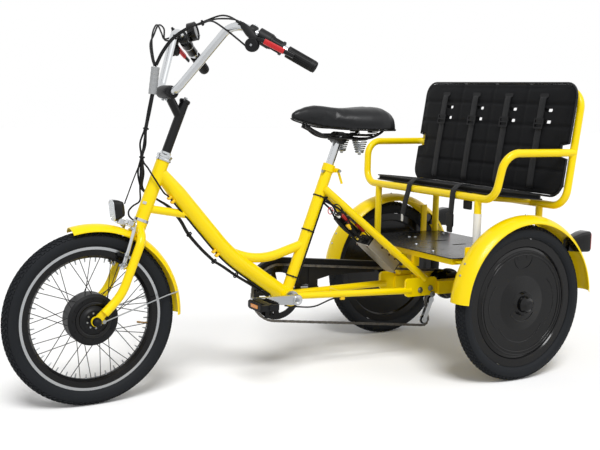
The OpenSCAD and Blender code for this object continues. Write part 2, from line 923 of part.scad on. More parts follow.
// Chain path: circles that carry it, as X, Z, pitch radius, and 1 where it turns clockwise seen from the left
carriers = [
  [bb.x, bb.z, ring_r, 1],
  [0, wheel_r, sprocket_r, 1],
  [-30, wheel_r - 66, pulley_r, -1],
  [-58, wheel_r - 136, pulley_r, 1]];
function next(i) = (i + 1) % len(carriers);
function spread(i) = carriers[next(i)] - carriers[i];
function span(i) = norm([spread(i)[0], spread(i)[1]]);
function lead(i) = carriers[next(i)][3] * carriers[next(i)][2] - carriers[i][3] * carriers[i][2];
function heading(i) = atan2(spread(i)[1], spread(i)[0]) + asin(lead(i) / span(i));
function run_len(i) = sqrt(span(i) * span(i) - lead(i) * lead(i));
function wrap(a) = a - 360 * floor(a / 360);
function turn(i) = wrap(carriers[i][3] * (heading((i + len(carriers) - 1) % len(carriers)) - heading(i)));
function arc_len(i) = turn(i) * PI / 180 * carriers[i][2];
function rim_point(i, h) = [carriers[i][0], carriers[i][1]]
  + carriers[i][3] * carriers[i][2] * [-sin(h), cos(h)];
function on_path(s, i) = s <= run_len(i)
  ? rim_point(i, heading(i)) + s * [cos(heading(i)), sin(heading(i))]
  : s - run_len(i) <= arc_len(next(i))
    ? rim_point(next(i), heading(i) - carriers[next(i)][3] * (s - run_len(i)) * 180 / PI / carriers[next(i)][2])
    : on_path(s - run_len(i) - arc_len(next(i)), next(i));
function sum(v, i = 0) = i == len(v) ? 0 : v[i] + sum(v, i + 1);
chain_total = sum([for (i = [0:len(carriers) - 1]) run_len(i) + arc_len(i)]);
link_pitch = 12.7;
link_clear = 5.1;
link_count = 2 * round(chain_total / link_pitch / 2);

// Roller chain: narrow inner links and wide outer plates, in turn
module chain() {
  inner_w = 5;
  plate = 1.6;
  tip = 3.5;
  half_h = 3.8;
  color(steel)
    at_rear()
      for (k = [0:link_count - 1]) {
        a = on_path(k * chain_total / link_count, 0);
        b = on_path(((k + 1) % link_count) * chain_total / link_count, 0);
        l = norm(b - a);
        outline = [[-tip, 0], [-tip / 2, half_h], [l + tip / 2, half_h], [l + tip, 0],
          [l + tip / 2, -half_h],
          [-tip / 2, -half_h]];
        translate([a.x, chain_y, a.y])
          rotate([0, -atan2(b.y - a.y, b.x - a.x), 0])
            rotate([90, 0, 0])
              if (k % 2 == 0)
                linear_extrude(inner_w + 0.2, center = true)
                  polygon(outline);
              else
                for (y = [-1, 1])
                  translate([0, 0, y * (inner_w + plate) / 2])
                    linear_extrude(plate, center = true)
                      polygon(outline);
      }
}

// Derailleur: cage plates, pulleys, knuckles and the parallel links to the carrier
module derailleur() {
  upper = [carriers[2][0], carriers[2][1]];
  lower = [carriers[3][0], carriers[3][1]];
  tilt = atan2(lower.y - upper.y, lower.x - upper.x);
  cage_l = norm(lower - upper);
  hanger_z = wheel_r + 7 - beam_h / 2 - seat_gap;
  hanger_h = 20;
  knuckle_w = 15;
  knuckle = [upper.x + 8, chain_y + 16, hanger_z - hanger_h];
  foot = [upper.x, chain_y + 16, upper.y];
  color(silver)
    at_rear() {
      for (y = [-8, 8])
        translate([upper.x, chain_y + y, upper.y])
          rotate([0, -tilt, 0])
            rotate([90, 0, 0])
              linear_extrude(2, center = true) {
                circle(11);
                translate([cage_l, 0])
                  circle(11);
                translate([0, -8])
                  square([cage_l, 16]);
              }
      for (p = [upper, lower])
        translate([p.x, chain_y, p.y]) {
          across(pulley_r - link_clear - run_gap, 4);
          across(4, 20);
        }
      translate([knuckle.x, knuckle.y, hanger_z - hanger_h / 2])
        block([20, 12, hanger_h]);
      translate(knuckle)
        across(10, knuckle_w);
      translate(foot)
        across(12, knuckle_w);
      for (x = [-5, 5])
        rod(knuckle + [x, 0, 0], foot + [x, 0, 0], 4);
    }
}

// Guard over the chain's upper run, with its fin, its peg to the chain stay and the bracket on the shell
module chain_guard() {
  guard_r = ring_r + 24;
  wall = 3;
  guard_y = chain_y + 8.5;
  top = heading(0);
  run = 414;
  fin_x = 140;
  peg_start = chainstay_r + 5 * seat_gap;
  stay_share = (fin_x - 10) / (bb_ahead + chainstay_foot.x - 10);
  stay_y = chainstay_top_y + stay_share * (dropout_y - chainstay_top_y);
  color(black)
    at_rear()
      translate([bb.x, 0, bb.z]) {
        rotate([0, -top, 0]) {
          translate([0, guard_y - wall / 2, guard_r - 30])
            cube([run, wall, 30]);
          translate([0, guard_y - 16, guard_r - wall])
            cube([run, 16, wall]);
        }
        rotate([90, 0, 0])
          rotate([0, 0, 90 + top])
            rotate_extrude(angle = 75)
              translate([0, -guard_y]) {
                translate([guard_r - 30, -wall / 2])
                  square([30, wall]);
                translate([guard_r - wall, 0])
                  square([wall, 16]);
              }
        translate([fin_x - 18, guard_y - wall / 2, -8])
          cube([36, wall, guard_r - 12]);
        translate([fin_x, (stay_y + peg_start + guard_y) / 2, 0])
          across(5, guard_y - stay_y - peg_start);
        translate([0, bb_w / 2 - wall, 0])
          rotate([90, 0, 0])
            linear_extrude(wall, center = true)
              difference() {
                union() {
                  circle(bb_r + 6);
                  polygon([[-46, -22], [-9, -24], [5, 8 - ring_r], [-53, 17 - ring_r]]);
                }
                circle(bb_r + seat_gap);
                for (x = [-34, -22])
                  translate([x, -62])
                    square([4, 16], center = true);
              }
      }
}

// Motor controller with cooling ribs, hung under a bridge of the seat stays
module controller() {
  case_h = 34;
  rib_pitch = 16;
  color("#b9b4aa")
    at_rear()
      translate([on_stay(controller_bridge).x, 0, on_stay(controller_bridge).z])
        rotate([0, stay_slope, 0])
          translate([22, 0, -bridge_r - seat_gap - case_h / 2])
            difference() {
              block([140, 62, case_h]);
              for (i = [-1.5:1:1.5])
                translate([0, i * rib_pitch, -case_h / 2])
                  block([150, 6, 8]);
            }
}

// Pouch for the wiring, hung under a bridge of the seat stays
module wiring_pouch() {
  pouch_h = 46;
  color(black)
    at_rear()
      translate([on_stay(pouch_bridge).x, 0, on_stay(pouch_bridge).z])
        rotate([0, stay_slope, 0])
          translate([20, 0, -bridge_r - seat_gap - pouch_h / 2])
            block([110, 34, pouch_h]);
}

// Direction square to the line a, b and downwards
function under_side(a, b) = unit([b.z - a.z, 0, a.x - b.x]);

// Cables held under the down tube, behind the seat tube and under the left chain stay
module frame_cables() {
  cable_r = 2.5;
  cable_pitch = 6;
  upper = under_side(down_top, down_bend);
  lower = under_side(down_bend, bb);
  corner = (upper + lower) / (1 + upper * lower);
  start = down_top + 0.62 * (down_bend - down_top);
  end = down_bend + 0.85 * (bb - down_bend);
  behind = [sin(seat_angle), 0, -cos(seat_angle)] * (seat_r + cable_r + 2 * seat_gap);
  under = [0, 0, -chainstay_r - cable_r - 2 * seat_gap];
  left_start = [bb.x + 10, -chainstay_top_y, bb.z + 1] + under;
  left_run = flip(chainstay_foot) + under - left_start;
  color(black)
    at_rear() {
      rod(bb + 70 * seat_axis + behind, seat_top - 120 * seat_axis + behind, cable_r);
      tube([bb + [-8, -12, -bb_r - cable_r - seat_gap], left_start + 0.14 * left_run + [0, 0, -16],
        left_start + 0.3 * left_run, left_start + 0.8 * left_run], cable_r, [40, 60]);
      for (i = [-1:1]) {
        y = [0, i * cable_pitch, 0];
        drop = cable_r + 2 * seat_gap + sqrt(down_r * down_r - y.y * y.y);
        tube([start + drop * upper + y, down_bend + drop * corner + y, end + drop * lower + y], cable_r,
          [down_bend_r + drop]);
      }
    }
}

// Fork: steerer, crown, legs and dropouts
module fork() {
  leg_top = [0, -8, crown_top - 18];
  shoulder = [0, -leg_y, crown_top - 48];
  knee = [0, -leg_y, 95];
  axle = [-fork_offset, -leg_y, 0];
  toe = axle + 32 * unit(knee - axle);
  boss_tip = leg_r + 3 - seat_gap;
  boss_y = leg_y - 8;
  color(yellow)
    at_steer()
      difference() {
        union() {
          translate([0, 0, crown_top - crown_h])
            cylinder(h = crown_h, r = head_r + 1.5);
          translate([0, 0, crown_top - 5])
            cylinder(h = head_end + cup_h + nut_h - crown_top + 5, r = steerer_r);
          both_sides() {
            tube([leg_top, shoulder, knee, toe], leg_r, [42, 150]);
            translate([-fork_offset, -drop_y, 0])
              across(15, drop_t);
            translate([-fork_offset, -drop_y, 0])
              rotate([0, atan2(knee.x - axle.x, knee.z - axle.z), 0])
                translate([0, 0, 20])
                  block([22, drop_t, 40]);
            translate([-fork_offset, -drop_y, 0])
              rotate([0, head_angle - 90, 0]) {
                translate(eyelet)
                  across(eyelet_r, drop_t - 1);
                translate(eyelet / 2)
                  block([norm(eyelet), drop_t - 0.6, 11]);
              }
            rod([0, -boss_y, boss_s], [-boss_tip, -boss_y, boss_s], 5);
          }
        }
        translate([-fork_offset, 0, 0])
          across(front_axle_r + run_gap / 2, 2 * leg_y + 40);
        translate([0, 0, head_start + 60])
          cylinder(h = head_len + 60, r = stem_r - 2.9);
      }
}

// Fixed front axle with its nuts
module front_axle() {
  nut_w = 10;
  drop_out = drop_y + drop_t / 2;
  color(steel)
    translate([front_x, 0, wheel_r]) {
      across(front_axle_r, 2 * (drop_out + nut_w + 8));
      for (side = [-1, 1])
        translate([0, side * (drop_out + nut_w / 2 + seat_gap), 0])
          rotate([90, 0, 0])
            cylinder(h = nut_w, r = 11, center = true, $fn = 6);
    }
}

// Locknut on the steerer, above the upper cup
module headset_locknut() {
  color(chrome)
    at_steer()
      translate([0, 0, head_end + cup_h + seat_gap])
        difference() {
          cylinder(h = nut_h - seat_gap, r = head_r + 0.5);
          translate([0, 0, -1])
            cylinder(h = nut_h + 2, r = steerer_r + run_gap);
        }
}

// Stem: quill, upright tube with its cap, branch and bar clamp
module stem() {
  foot = head_end + cup_h + nut_h + seat_gap;
  branch_s = bar_clamp_s - 52;
  color(black)
    at_steer()
      difference() {
        union() {
          translate([0, 0, head_start + 90])
            cylinder(h = foot - head_start - 80, r = stem_r - 3);
          translate([0, 0, foot])
            cylinder(h = stem_top - foot, r = stem_r);
          translate([0, 0, stem_top - 8])
            cylinder(h = 8, r = stem_r + 2);
          rod([0, 0, branch_s], [-bar_ahead + 4, 0, bar_clamp_s - 4], stem_r - 1);
          translate([-bar_ahead, 0, bar_clamp_s])
            across(bar_r + 7, 44);
        }
        translate([-bar_ahead, 0, bar_clamp_s])
          across(bar_r + run_gap / 2, 60);
      }
}

// Handlebar, swept up and back
module handlebar() {
  color(silver)
    at_steer()
      tube([bar_end, bar_bend, bar_low, flip(bar_low), flip(bar_bend), flip(bar_end)], bar_r,
        [60, 55, 55, 60]);
}

// Places children at a distance from the left end of the handlebar, with Z along the grip, outwards
module on_grip(inward) {
  at_steer()
    translate(bar_end - inward * grip_axis)
      rotate([0, acos(grip_axis.z), atan2(grip_axis.y, grip_axis.x)])
        children();
}

// Sleeve around the handlebar
module sleeve(h, r) {
  difference() {
    cylinder(h = h, r = r);
    translate([0, 0, -1])
      cylinder(h = h + 2, r = bar_r + run_gap / 2);
  }
}

// Grooved grips with closed ends
module grips() {
  grooves = 20;
  plain = 9;
  color(black)
    both_sides() {
      on_grip(grip_len)
        difference() {
          sleeve(grip_len, grip_r);
          for (i = [0:grooves - 1])
            rotate([0, 0, i * 360 / grooves])
              translate([grip_r, 0, grip_len / 2])
                block([2, 2, grip_len - 2 * plain]);
        }
      on_grip(0)
        translate([0, 0, seat_gap])
          cylinder(h = 5, r = grip_r - 1);
    }
}

// Brake levers: clamp, housing, pivot drum and blade with its ball end
module brake_levers() {
  blade_r = 5;
  blade = [[0, -bar_r - 26, 14], [4, -bar_r - 36, 60], [6, -bar_r - 28, 148]];
  color(black)
    both_sides()
      on_grip(lever_at) {
        sleeve(20, bar_r + 6);
        rotate([0, 0, lever_tilt]) {
          translate([0, -lever_ahead, 10 - lever_l / 2])
            linear_extrude(lever_l)
              rounded(20, 26, 6);
          translate([0, -lever_ahead - 18, 6])
            rotate([0, 90, 0])
              cylinder(h = 15, r = 15, center = true);
          tube(blade, blade_r, [40]);
          translate(blade[2])
            sphere(blade_r + 1.5);
        }
      }
}

// Twist shifter on the left of the handlebar: drum, collar and ribbed sleeve
module twist_shifter() {
  drum_l = 45;
  twist_l = 33;
  twist_r = bar_r + 6;
  ribs = 16;
  color(black)
    on_grip(178) {
      sleeve(drum_l - 6, bar_r + 10);
      translate([0, 0, drum_l - 7])
        sleeve(7, bar_r + 8);
      translate([0, 0, drum_l - 1])
        difference() {
          sleeve(twist_l + 1, twist_r);
          for (i = [0:ribs - 1])
            rotate([0, 0, i * 360 / ribs])
              translate([twist_r, 0, twist_l / 2])
                block([2.4, 2.6, twist_l - 8]);
        }
      translate([0, 0, drum_l + twist_l - 5])
        sleeve(5.4, twist_r + 2.5);
    }
}

// Round display and throttle sleeve on the right of the handlebar
module display() {
  face_r = 30;
  case_t = 24;
  case_up = bar_r + 34;
  face_turn = 120;
  throttle_l = 42;
  color(black)
    mirror([0, 1, 0])
      on_grip(174) {
        sleeve(24, bar_r + 6);
        translate([0, 0, 23])
          sleeve(throttle_l, bar_r + 4);
        translate([-case_up, 0, 12])
          rotate([0, 0, face_turn])
            rotate([0, 90, 0])
              difference() {
                cylinder(h = case_t, r = face_r, center = true);
                translate([0, 0, case_t / 2 - 1.5])
                  cylinder(h = 3, r = face_r - 5);
              }
      }
}

// Headlamp and its bracket on the fork crown
module headlamp() {
  lamp_ahead = 84;
  lamp_t = 34;
  face_w = 48;
  face_h = 70;
  rim_t = 10;
  corner = 15;
  share = 0.55;
  bracket_end = lamp_ahead - lamp_t / 2 + 5;
  bracket_start = head_r + 1.5 + seat_gap;
  bracket_s = crown_top - 15;
  color(black)
    at_steer() {
      translate([-lamp_ahead, 0, head_start + 8]) {
        translate([(rim_t - lamp_t) / 2, 0, 0])
          facing_back(rim_t)
            rounded(face_w, face_h, corner);
        hull($fn = hull_fn) {
          translate([rim_t - lamp_t / 2 - 2, 0, 0])
            facing_back(1)
              rounded(face_w - 2, face_h - 2, corner - 1);
          translate([lamp_t / 2 - 0.5, 0, 0])
            facing_back(1)
              rounded(share * face_w, share * face_h, share * corner);
        }
      }
      translate([-(bracket_start + bracket_end) / 2, 0, bracket_s])
        block([bracket_end - bracket_start, 16, 4]);
      translate([3 - bracket_end, 0, bracket_s + 13])
        block([6, 15, 30]);
    }
}

// Front fender with its tab under the fork crown
module front_fender() {
  tab_h = 5;
  tab_top = crown_top - crown_h - 5;
  color(yellow) {
    translate([front_x + front_fender_x, 0, wheel_r])
      fender_shell(front_fender_r, front_fender_w, fender_t, -2, 104);
    at_steer()
      translate([0, 0, tab_top - tab_h / 2])
        block([16, 20, tab_h]);
  }
}

// Wire stays from the front dropouts to the front fender's edges
module fender_stays() {
  stay_angle = 14;
  wire_r = 2;
  edge_r = front_fender_r - edge_drop(front_fender_w) - fender_t;
  wire_y = drop_y + drop_t / 2 + seat_gap + wire_r;
  end_y = front_fender_w / 2 + seat_gap + wire_r;
  function edge_point(r) = [front_fender_x + r * cos(stay_angle), end_y, r * sin(stay_angle)];
  color(steel)
    translate([front_x, 0, wheel_r])
      both_sides() {
        tube([eyelet + [0, wire_y, 0], edge_point(edge_r - 30), edge_point(edge_r + 4)], wire_r, [12]);
        translate(eyelet + [0, wire_y, 0])
          across(eyelet_r - 1, 2 * wire_r - 0.2);
      }
}

// Front rim brake: tapered arms, pads and the cable across
module front_brake() {
  pad_gap = 3;
  pad_l = 30;
  arm_t = 11;
  arm_x = -leg_r - 3 - arm_t / 2;
  arm_y = leg_y - 10;
  arm_top = [arm_y - 4, crown_top - 24];
  pad_t = arm_y - rim_w / 2 - pad_gap;
  color(silver)
    at_steer() {
      both_sides() {
        translate([arm_x, 0, 0])
          facing_back(arm_t) {
            translate([arm_y, boss_s])
              circle(8);
            translate(arm_top)
              circle(5);
            polygon([[arm_y - 8, boss_s], [arm_y + 8, boss_s], arm_top + [5, 0], arm_top - [5, 0]]);
          }
        translate([arm_x - pad_l / 8, (rim_w / 2 + pad_gap + arm_y) / 2, pad_s])
          rotate([90, 0, 0])
            linear_extrude(pad_t, center = true)
              rounded(pad_l, 10, 4);
      }
      rod([arm_x - 2, -arm_top.x, arm_top.y], [arm_x - 2, arm_top.x, arm_top.y], 1.6);
    }
}

// Cable bundle in front of the stem, and its branch to each brake lever
module bar_cables() {
  bundle_r = 7;
  branch_r = 4.5;
  clamp = [0, 0, bar_clamp_s];
  top = [-122, 0, 54];
  bundle = [top, [-103, 0, -22], [-67, -10, -150], [-24, -30, -287]];
  fork = [0, -branch_r - 1, -8];
  branch = [top + fork, [-124, -branch_r - 1, 139], [-75, -65, bar_rise + 8], [-65, -150, bar_rise + 6]];
  color(black)
    at_steer() {
      tube([for (p = bundle) clamp + p], bundle_r, [120, 120]);
      both_sides()
        tube(concat([for (p = branch) clamp + p], [lever_mouth - 55 * grip_axis, lever_mouth]),
          branch_r, [60, 45, 30, 25]);
    }
}

// Tyre about a wheel's centre, its axis along Y
module tyre_ring() {
  rotate([90, 0, 0])
    rotate_extrude()
      difference() {
        translate([wheel_r - tyre_w / 2, 0])
          circle(tyre_w / 2);
        translate([0, -tyre_w])
          square([rim_r + seat_gap, 2 * tyre_w]);
      }
}

// Front tyre
module tyre_front() {
  color(black)
    translate([front_x, 0, wheel_r])
      tyre_ring();
}

// Section of a rim, with the radius along X
module rim_section() {
  wall = 3;
  bed = 6;
  half = rim_w / 2;
  polygon([[rim_inner_r, -5], [rim_inner_r + 8, -half], [rim_r, -half], [rim_r, wall - half],
    [rim_r - bed, wall - half], [rim_r - bed, half - wall], [rim_r, half - wall], [rim_r, half],
    [rim_inner_r + 8, half], [rim_inner_r, 5]]);
}

// Front rim
module rim_front() {
  color(black)
    translate([front_x, 0, wheel_r])
      rotate([90, 0, 0])
        rotate_extrude()
          rim_section();
}

// Laced front spokes
module spokes_front() {
  lace = 18;
  flange_y = motor_w / 2 - 8;
  rim_y = 3;
  color(steel)
    translate([front_x, 0, wheel_r])
      for (i = [0:spoke_count - 1]) {
        side = i % 2 == 0 ? 1 : -1;
        lean = floor(i / 2) % 2 == 0 ? 1 : -1;
        at_rim = i * 360 / spoke_count;
        at_hub = at_rim + lean * lace;
        hub_y = side * (flange_y + lean * 2);
        rod([(motor_r + seat_gap) * cos(at_hub), hub_y, (motor_r + seat_gap) * sin(at_hub)],
          [(rim_inner_r - seat_gap) * cos(at_rim), side * rim_y, (rim_inner_r - seat_gap) * sin(at_rim)],
          spoke_r, $fn = 8);
      }
}

// Front hub motor: drum and stepped covers
module hub_motor() {
  half = motor_w / 2;
  boss = 8;
  color(black)
    translate([front_x, 0, wheel_r])
      rotate([90, 0, 0])
        rotate_extrude()
          polygon([[front_axle_r + run_gap, -half - boss], [30, -half - boss], [36, -half - 3],
            [46, -half], [motor_r - 8, -half], [motor_r, -half + 4], [motor_r, half - 4],
            [motor_r - 8, half], [46, half],
            [36, half + 3], [30, half + boss], [front_axle_r + run_gap, half + boss]]);
}

// Rear wheel parts are drawn on the left and mirrored for the right
module rear_wheel_place() {
  at_rear()
    translate([0, -track / 2, wheel_r])
      children();
}

// Disc wheel: rim, dished web, hub and cap, outer side towards -Y
module disc_wheel() {
  web_out = 16;
  web_in = -8;
  cap_tip = 53;
  ring_bead = 2.4;
  hatch_r = 40;
  hatch_y = 150;
  relief = 5;
  color(black)
    rotate([90, 0, 0]) {
      translate([0, hatch_y, web_out - relief / 2])
        linear_extrude(relief, center = true) {
          difference() {
            circle(hatch_r);
            circle(hatch_r - 4);
            translate([0, hatch_r])
              square(2 * hatch_r, center = true);
          }
          for (x = [-1, 1])
            translate([x * hatch_r / 2, 2])
              circle(10);
        }
      rotate_extrude() {
        rim_section();
        for (r = [rim_inner_r - 8, rim_inner_r - 18])
          translate([r, web_out - 0.5])
            circle(ring_bead);
        polygon([[shaft_r + run_gap / 2, -30], [30, -30], [34, web_in], [120, web_in - 2],
          [rim_inner_r + 4, web_in], [rim_inner_r + 10, 0], [rim_inner_r + 4, web_out - 4],
          [rim_inner_r - 4, web_out], [90, web_out - 3], [40, web_out + 4], [34, 30], [28, 30],
          [27, 38], [22, 47], [14, 52], [0, cap_tip], [0, shaft_out + seat_gap],
          [shaft_r + run_gap / 2, shaft_out + seat_gap]]);
      }
    }
}

// Half shaft of a rear wheel
shaft_out = 20;
module half_shaft() {
  inner_end = 3;
  color(steel)
    translate([0, (track / 2 - inner_end - shaft_out) / 2, 0])
      across(shaft_r, track / 2 - inner_end + shaft_out);
}

module tyre_rear_left() {
  color(black)
    rear_wheel_place()
      tyre_ring();
}

module disc_rear_left() {
  rear_wheel_place()
    disc_wheel();
}

module shaft_rear_left() {
  rear_wheel_place()
    half_shaft();
}

module tyre_rear_right() {
  mirror([0, 1, 0])
    tyre_rear_left();
}

module disc_rear_right() {
  mirror([0, 1, 0])
    disc_rear_left();
}

module shaft_rear_right() {
  mirror([0, 1, 0])
    shaft_rear_left();
}

// Crank arm along +X from the spindle, on the +Y side
arm_y = 66;
arm_t = 14;
module crank_arm() {
  translate([0, arm_y + arm_t / 2, 0]) {
    across(17, arm_t);
    translate([crank_len, 0, 0])
      across(13, arm_t);
    rotate([90, 0, 0])
      linear_extrude(arm_t - 2, center = true)
        polygon([[0, -15], [crank_len, -11], [crank_len, 11], [0, 15]]);
    translate([crank_len, arm_t / 2 + (pedal_l + 8) / 2, 0])
      across(6, pedal_l + 8);
  }
}

// Turns the left crank's direction into place about the bottom bracket
module at_crank() {
  at_rear()
    translate(bb)
      rotate([0, crank_angle, 0])
        children();
}

// Spindle and both crank arms
module crank_arms() {
  color(silver)
    at_crank() {
      across(spindle_r, 2 * arm_y + 4);
      crank_arm();
      rotate([0, 0, 180])
        crank_arm();
    }
}

// Chainring with its spider arms, beside the right crank arm
module chainring() {
  ring_t = 4;
  rim_out = ring_r - link_clear;
  rim_h = 20;
  spider_w = 16;
  color(black)
    at_crank()
      difference() {
        union() {
          translate([0, chain_y, 0])
            rotate([90, 0, 0])
              linear_extrude(ring_t, center = true) {
                difference() {
                  circle(rim_out);
                  circle(rim_out - rim_h);
                }
                for (i = [0:4])
                  rotate(36 + i * 72)
                    translate([0, -spider_w / 2])
                      square([rim_out - rim_h / 2, spider_w]);
              }
          translate([0, (chain_y + arm_y - seat_gap) / 2, 0])
            across(24, arm_y - seat_gap - chain_y);
        }
        translate([0, chain_y, 0])
          across(spindle_r + run_gap / 2, 2 * arm_y - chain_y);
      }
}

// Pedal about its axle: barrel, frame with two windows, toothed cage and reflector seats
module pedal_body() {
  pedal_h = 26;
  barrel_r = 11;
  cage_t = 7;
  window_w = pedal_w / 2 - cage_t - barrel_r;
  tooth_pitch = 15;
  color(black)
    difference() {
      union() {
        linear_extrude(pedal_h - 8, center = true)
          rounded(pedal_w, pedal_l, 8);
        across(barrel_r, pedal_l - 1);
        for (x = [-1, 1])
          translate([x * (pedal_w / 2 - cage_t / 2 - 0.5), 0, 0])
            block([cage_t - 1.5, pedal_l - 20, pedal_h]);
      }
      for (x = [-1, 1]) {
        translate([x * (barrel_r + window_w / 2), 0, 0])
          block([window_w, pedal_l - 16, pedal_h + 2]);
        translate([x * pedal_w / 2, 0, 0])
          block([3, 44, 12]);
        for (i = [-2:2], z = [-1, 1])
          translate([x * pedal_w / 2, i * tooth_pitch, z * pedal_h / 2])
            block([2 * cage_t, 7, 5]);
      }
      across(6 + run_gap, pedal_l + 2);
    }
}

// Pedal's place: at the end of its crank, level with the floor
module pedal_place(side) {
  pedal_mid_y = arm_y + arm_t + 7 + pedal_l / 2;
  angle = side < 0 ? 180 + crank_angle : crank_angle;
  at_rear()
    translate(bb + [crank_len * cos(angle), side * pedal_mid_y, -crank_len * sin(angle)])
      children();
}

module pedal_left() {
  pedal_place(-1)
    pedal_body();
}

module pedal_right() {
  pedal_place(1)
    pedal_body();
}

main_frame();
rear_stays();
axle_carrier();
headset_cups();
bottom_bracket_cups();
bed_frame();
bed_plate();
bench_frame();
seat_pad();
back_pad();
harness();
lap_buckles();
fender_rear_left();
fender_rear_right();
rear_lamps();
rear_lenses();
seat_collar();
seat_post();
saddle_frame();
saddle();
rear_drive();
derailleur();
chain();
chain_guard();
controller();
wiring_pouch();
frame_cables();
fork();
front_axle();
headset_locknut();
stem();
handlebar();
grips();
brake_levers();
twist_shifter();
display();
headlamp();
front_fender();
fender_stays();
front_brake();
bar_cables();
tyre_front();
rim_front();
spokes_front();
hub_motor();
tyre_rear_left();
disc_rear_left();
shaft_rear_left();
tyre_rear_right();
disc_rear_right();
shaft_rear_right();
crank_arms();
chainring();
pedal_left();
pedal_right();
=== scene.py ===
"""Dresses the solids of an electric tricycle: finishes, tyres, cushions, cables and small fittings."""

import json
import logging
import math
from dataclasses import dataclass
from enum import Enum
from typing import Optional, Sequence, Union

import bmesh
import bpy
from mathutils import Matrix, Vector


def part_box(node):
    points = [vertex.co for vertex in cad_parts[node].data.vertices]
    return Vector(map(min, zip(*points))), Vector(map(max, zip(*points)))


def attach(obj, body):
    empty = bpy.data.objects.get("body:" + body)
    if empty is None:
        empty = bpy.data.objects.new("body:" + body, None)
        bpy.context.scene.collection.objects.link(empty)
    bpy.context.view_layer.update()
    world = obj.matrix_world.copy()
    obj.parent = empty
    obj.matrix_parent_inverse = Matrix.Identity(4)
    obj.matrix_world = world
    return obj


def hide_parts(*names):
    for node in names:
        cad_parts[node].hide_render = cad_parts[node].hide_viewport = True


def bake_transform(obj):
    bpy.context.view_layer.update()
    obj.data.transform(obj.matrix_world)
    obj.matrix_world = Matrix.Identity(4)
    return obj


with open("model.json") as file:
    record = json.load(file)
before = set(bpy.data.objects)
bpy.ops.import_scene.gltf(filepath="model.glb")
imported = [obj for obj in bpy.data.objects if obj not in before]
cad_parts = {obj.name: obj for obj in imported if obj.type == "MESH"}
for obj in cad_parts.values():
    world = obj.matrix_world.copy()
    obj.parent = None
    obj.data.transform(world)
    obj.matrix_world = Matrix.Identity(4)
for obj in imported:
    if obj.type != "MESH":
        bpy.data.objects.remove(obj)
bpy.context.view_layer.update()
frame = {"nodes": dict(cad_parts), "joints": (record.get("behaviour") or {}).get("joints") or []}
LOG = logging.getLogger("tricycle")
JOINTS = {joint["name"]: joint for joint in frame["joints"]}
SIDEWAYS = Vector((0, 1, 0))
UPWARDS = Vector((0, 0, 1))
# Smallest radius of a turned form, in mm, so that its tip keeps an area
TIP_R = 0.05
# Pressure and number of frames that fill a cushion, and how far its skin may sink, in mm
FILL_PRESSURE = 4.0
FILL_FRAMES = 20
FILL_SINK = 0.8
# Two numbers, three numbers of a place, and a row of places
Pair = tuple[float, float]
Place = tuple[float, float, float]
Run = tuple[Place, ...]


def joint_place(name: str) -> Vector:
    """Gives the pivot of a joint, in metres."""
    return Vector(JOINTS[name]["pos_m"])


STEER_FOOT = joint_place("steering_turn")
STEER_UP = Vector(JOINTS["steering_turn"]["axis"]).normalized()
STEER_BACK = Vector((STEER_UP.z, 0, -STEER_UP.x))
FRONT_HUB = joint_place("front_wheel_spin")
REAR_HUB = joint_place("rear_left_spin")
CRANK_HUB = joint_place("crank_spin")


def by_rear(x: float, y: float, z: float) -> Vector:
    """Turns millimetres from the rear axle's plane, the middle and the floor into a place."""
    return Vector((REAR_HUB.x + x / 1000, y / 1000, z / 1000))


def steered(x: float, y: float, s: float) -> Vector:
    """Turns millimetres behind, beside and along the steering axis into a place."""
    return STEER_FOOT + (STEER_BACK * x + SIDEWAYS * y + STEER_UP * s) / 1000


def steer_way(x: float, y: float, s: float) -> Vector:
    """Turns a direction about the steering axis into one in the row frame."""
    return (STEER_BACK * x + SIDEWAYS * y + STEER_UP * s).normalized()


def seat_at(origin: Vector, normal: Vector, hint: Vector) -> Matrix:
    """Builds a local frame whose Z is the normal and whose X lies near the hint.

    Args:
        origin: Place of the frame, in metres.
        normal: Direction of its Z.
        hint: Direction that its X leans to.

    Returns:
        The frame as a matrix.
    """
    z = normal.normalized()
    x = (hint - z * hint.dot(z)).normalized()
    y = z.cross(x)
    seat = Matrix((x, y, z)).transposed().to_4x4()
    seat.translation = origin
    return seat


def shifted(seat: Matrix, x: float = 0.0, y: float = 0.0, z: float = 0.0) -> Matrix:
    """Moves a seat by millimetres in its own frame."""
    return seat @ Matrix.Translation(Vector((x, y, z)) / 1000)


def smooth_path(points: Sequence[Vector], steps: int = 8) -> list[Vector]:
    """Runs a smooth curve through points.

    Args:
        points: The places that the curve passes.
        steps: Pieces between two of them.

    Returns:
        The places along the curve.
    """
    ends = [points[0] * 2 - points[1], *points, points[-1] * 2 - points[-2]]
    path = []
    for a, b, c, d in zip(ends, ends[1:], ends[2:], ends[3:]):
        for step in range(steps):
            t = step / steps
            path.append(((b * 2) + (c - a) * t + (a * 2 - b * 5 + c * 4 - d) * t ** 2
                         + (b * 3 - a - c * 3 + d) * t ** 3) * 0.5)
    return path + [points[-1]]


def rear_run(points: Sequence[Place], steps: int = 6) -> list[Vector]:
    """Runs a smooth curve through places that are given as by_rear takes them."""
    return smooth_path([by_rear(*p) for p in points], steps)


def steer_run(points: Sequence[Place], steps: int = 6) -> list[Vector]:
    """Runs a smooth curve through places that are given as steered takes them."""
    return smooth_path([steered(*p) for p in points], steps)


def circle(sides: int) -> list[Pair]:
    """Gives points round a circle with a radius of 1."""
    return [(math.cos(2 * math.pi * k / sides), math.sin(2 * math.pi * k / sides)) for k in range(sides)]


def section(seat: Matrix, outline: Sequence[Pair], z: float = 0.0) -> list[Vector]:
    """Lays an outline on a seat, at a height over its XY plane, all in mm."""
    return [seat @ (Vector((u, v, z)) / 1000) for u, v in outline]


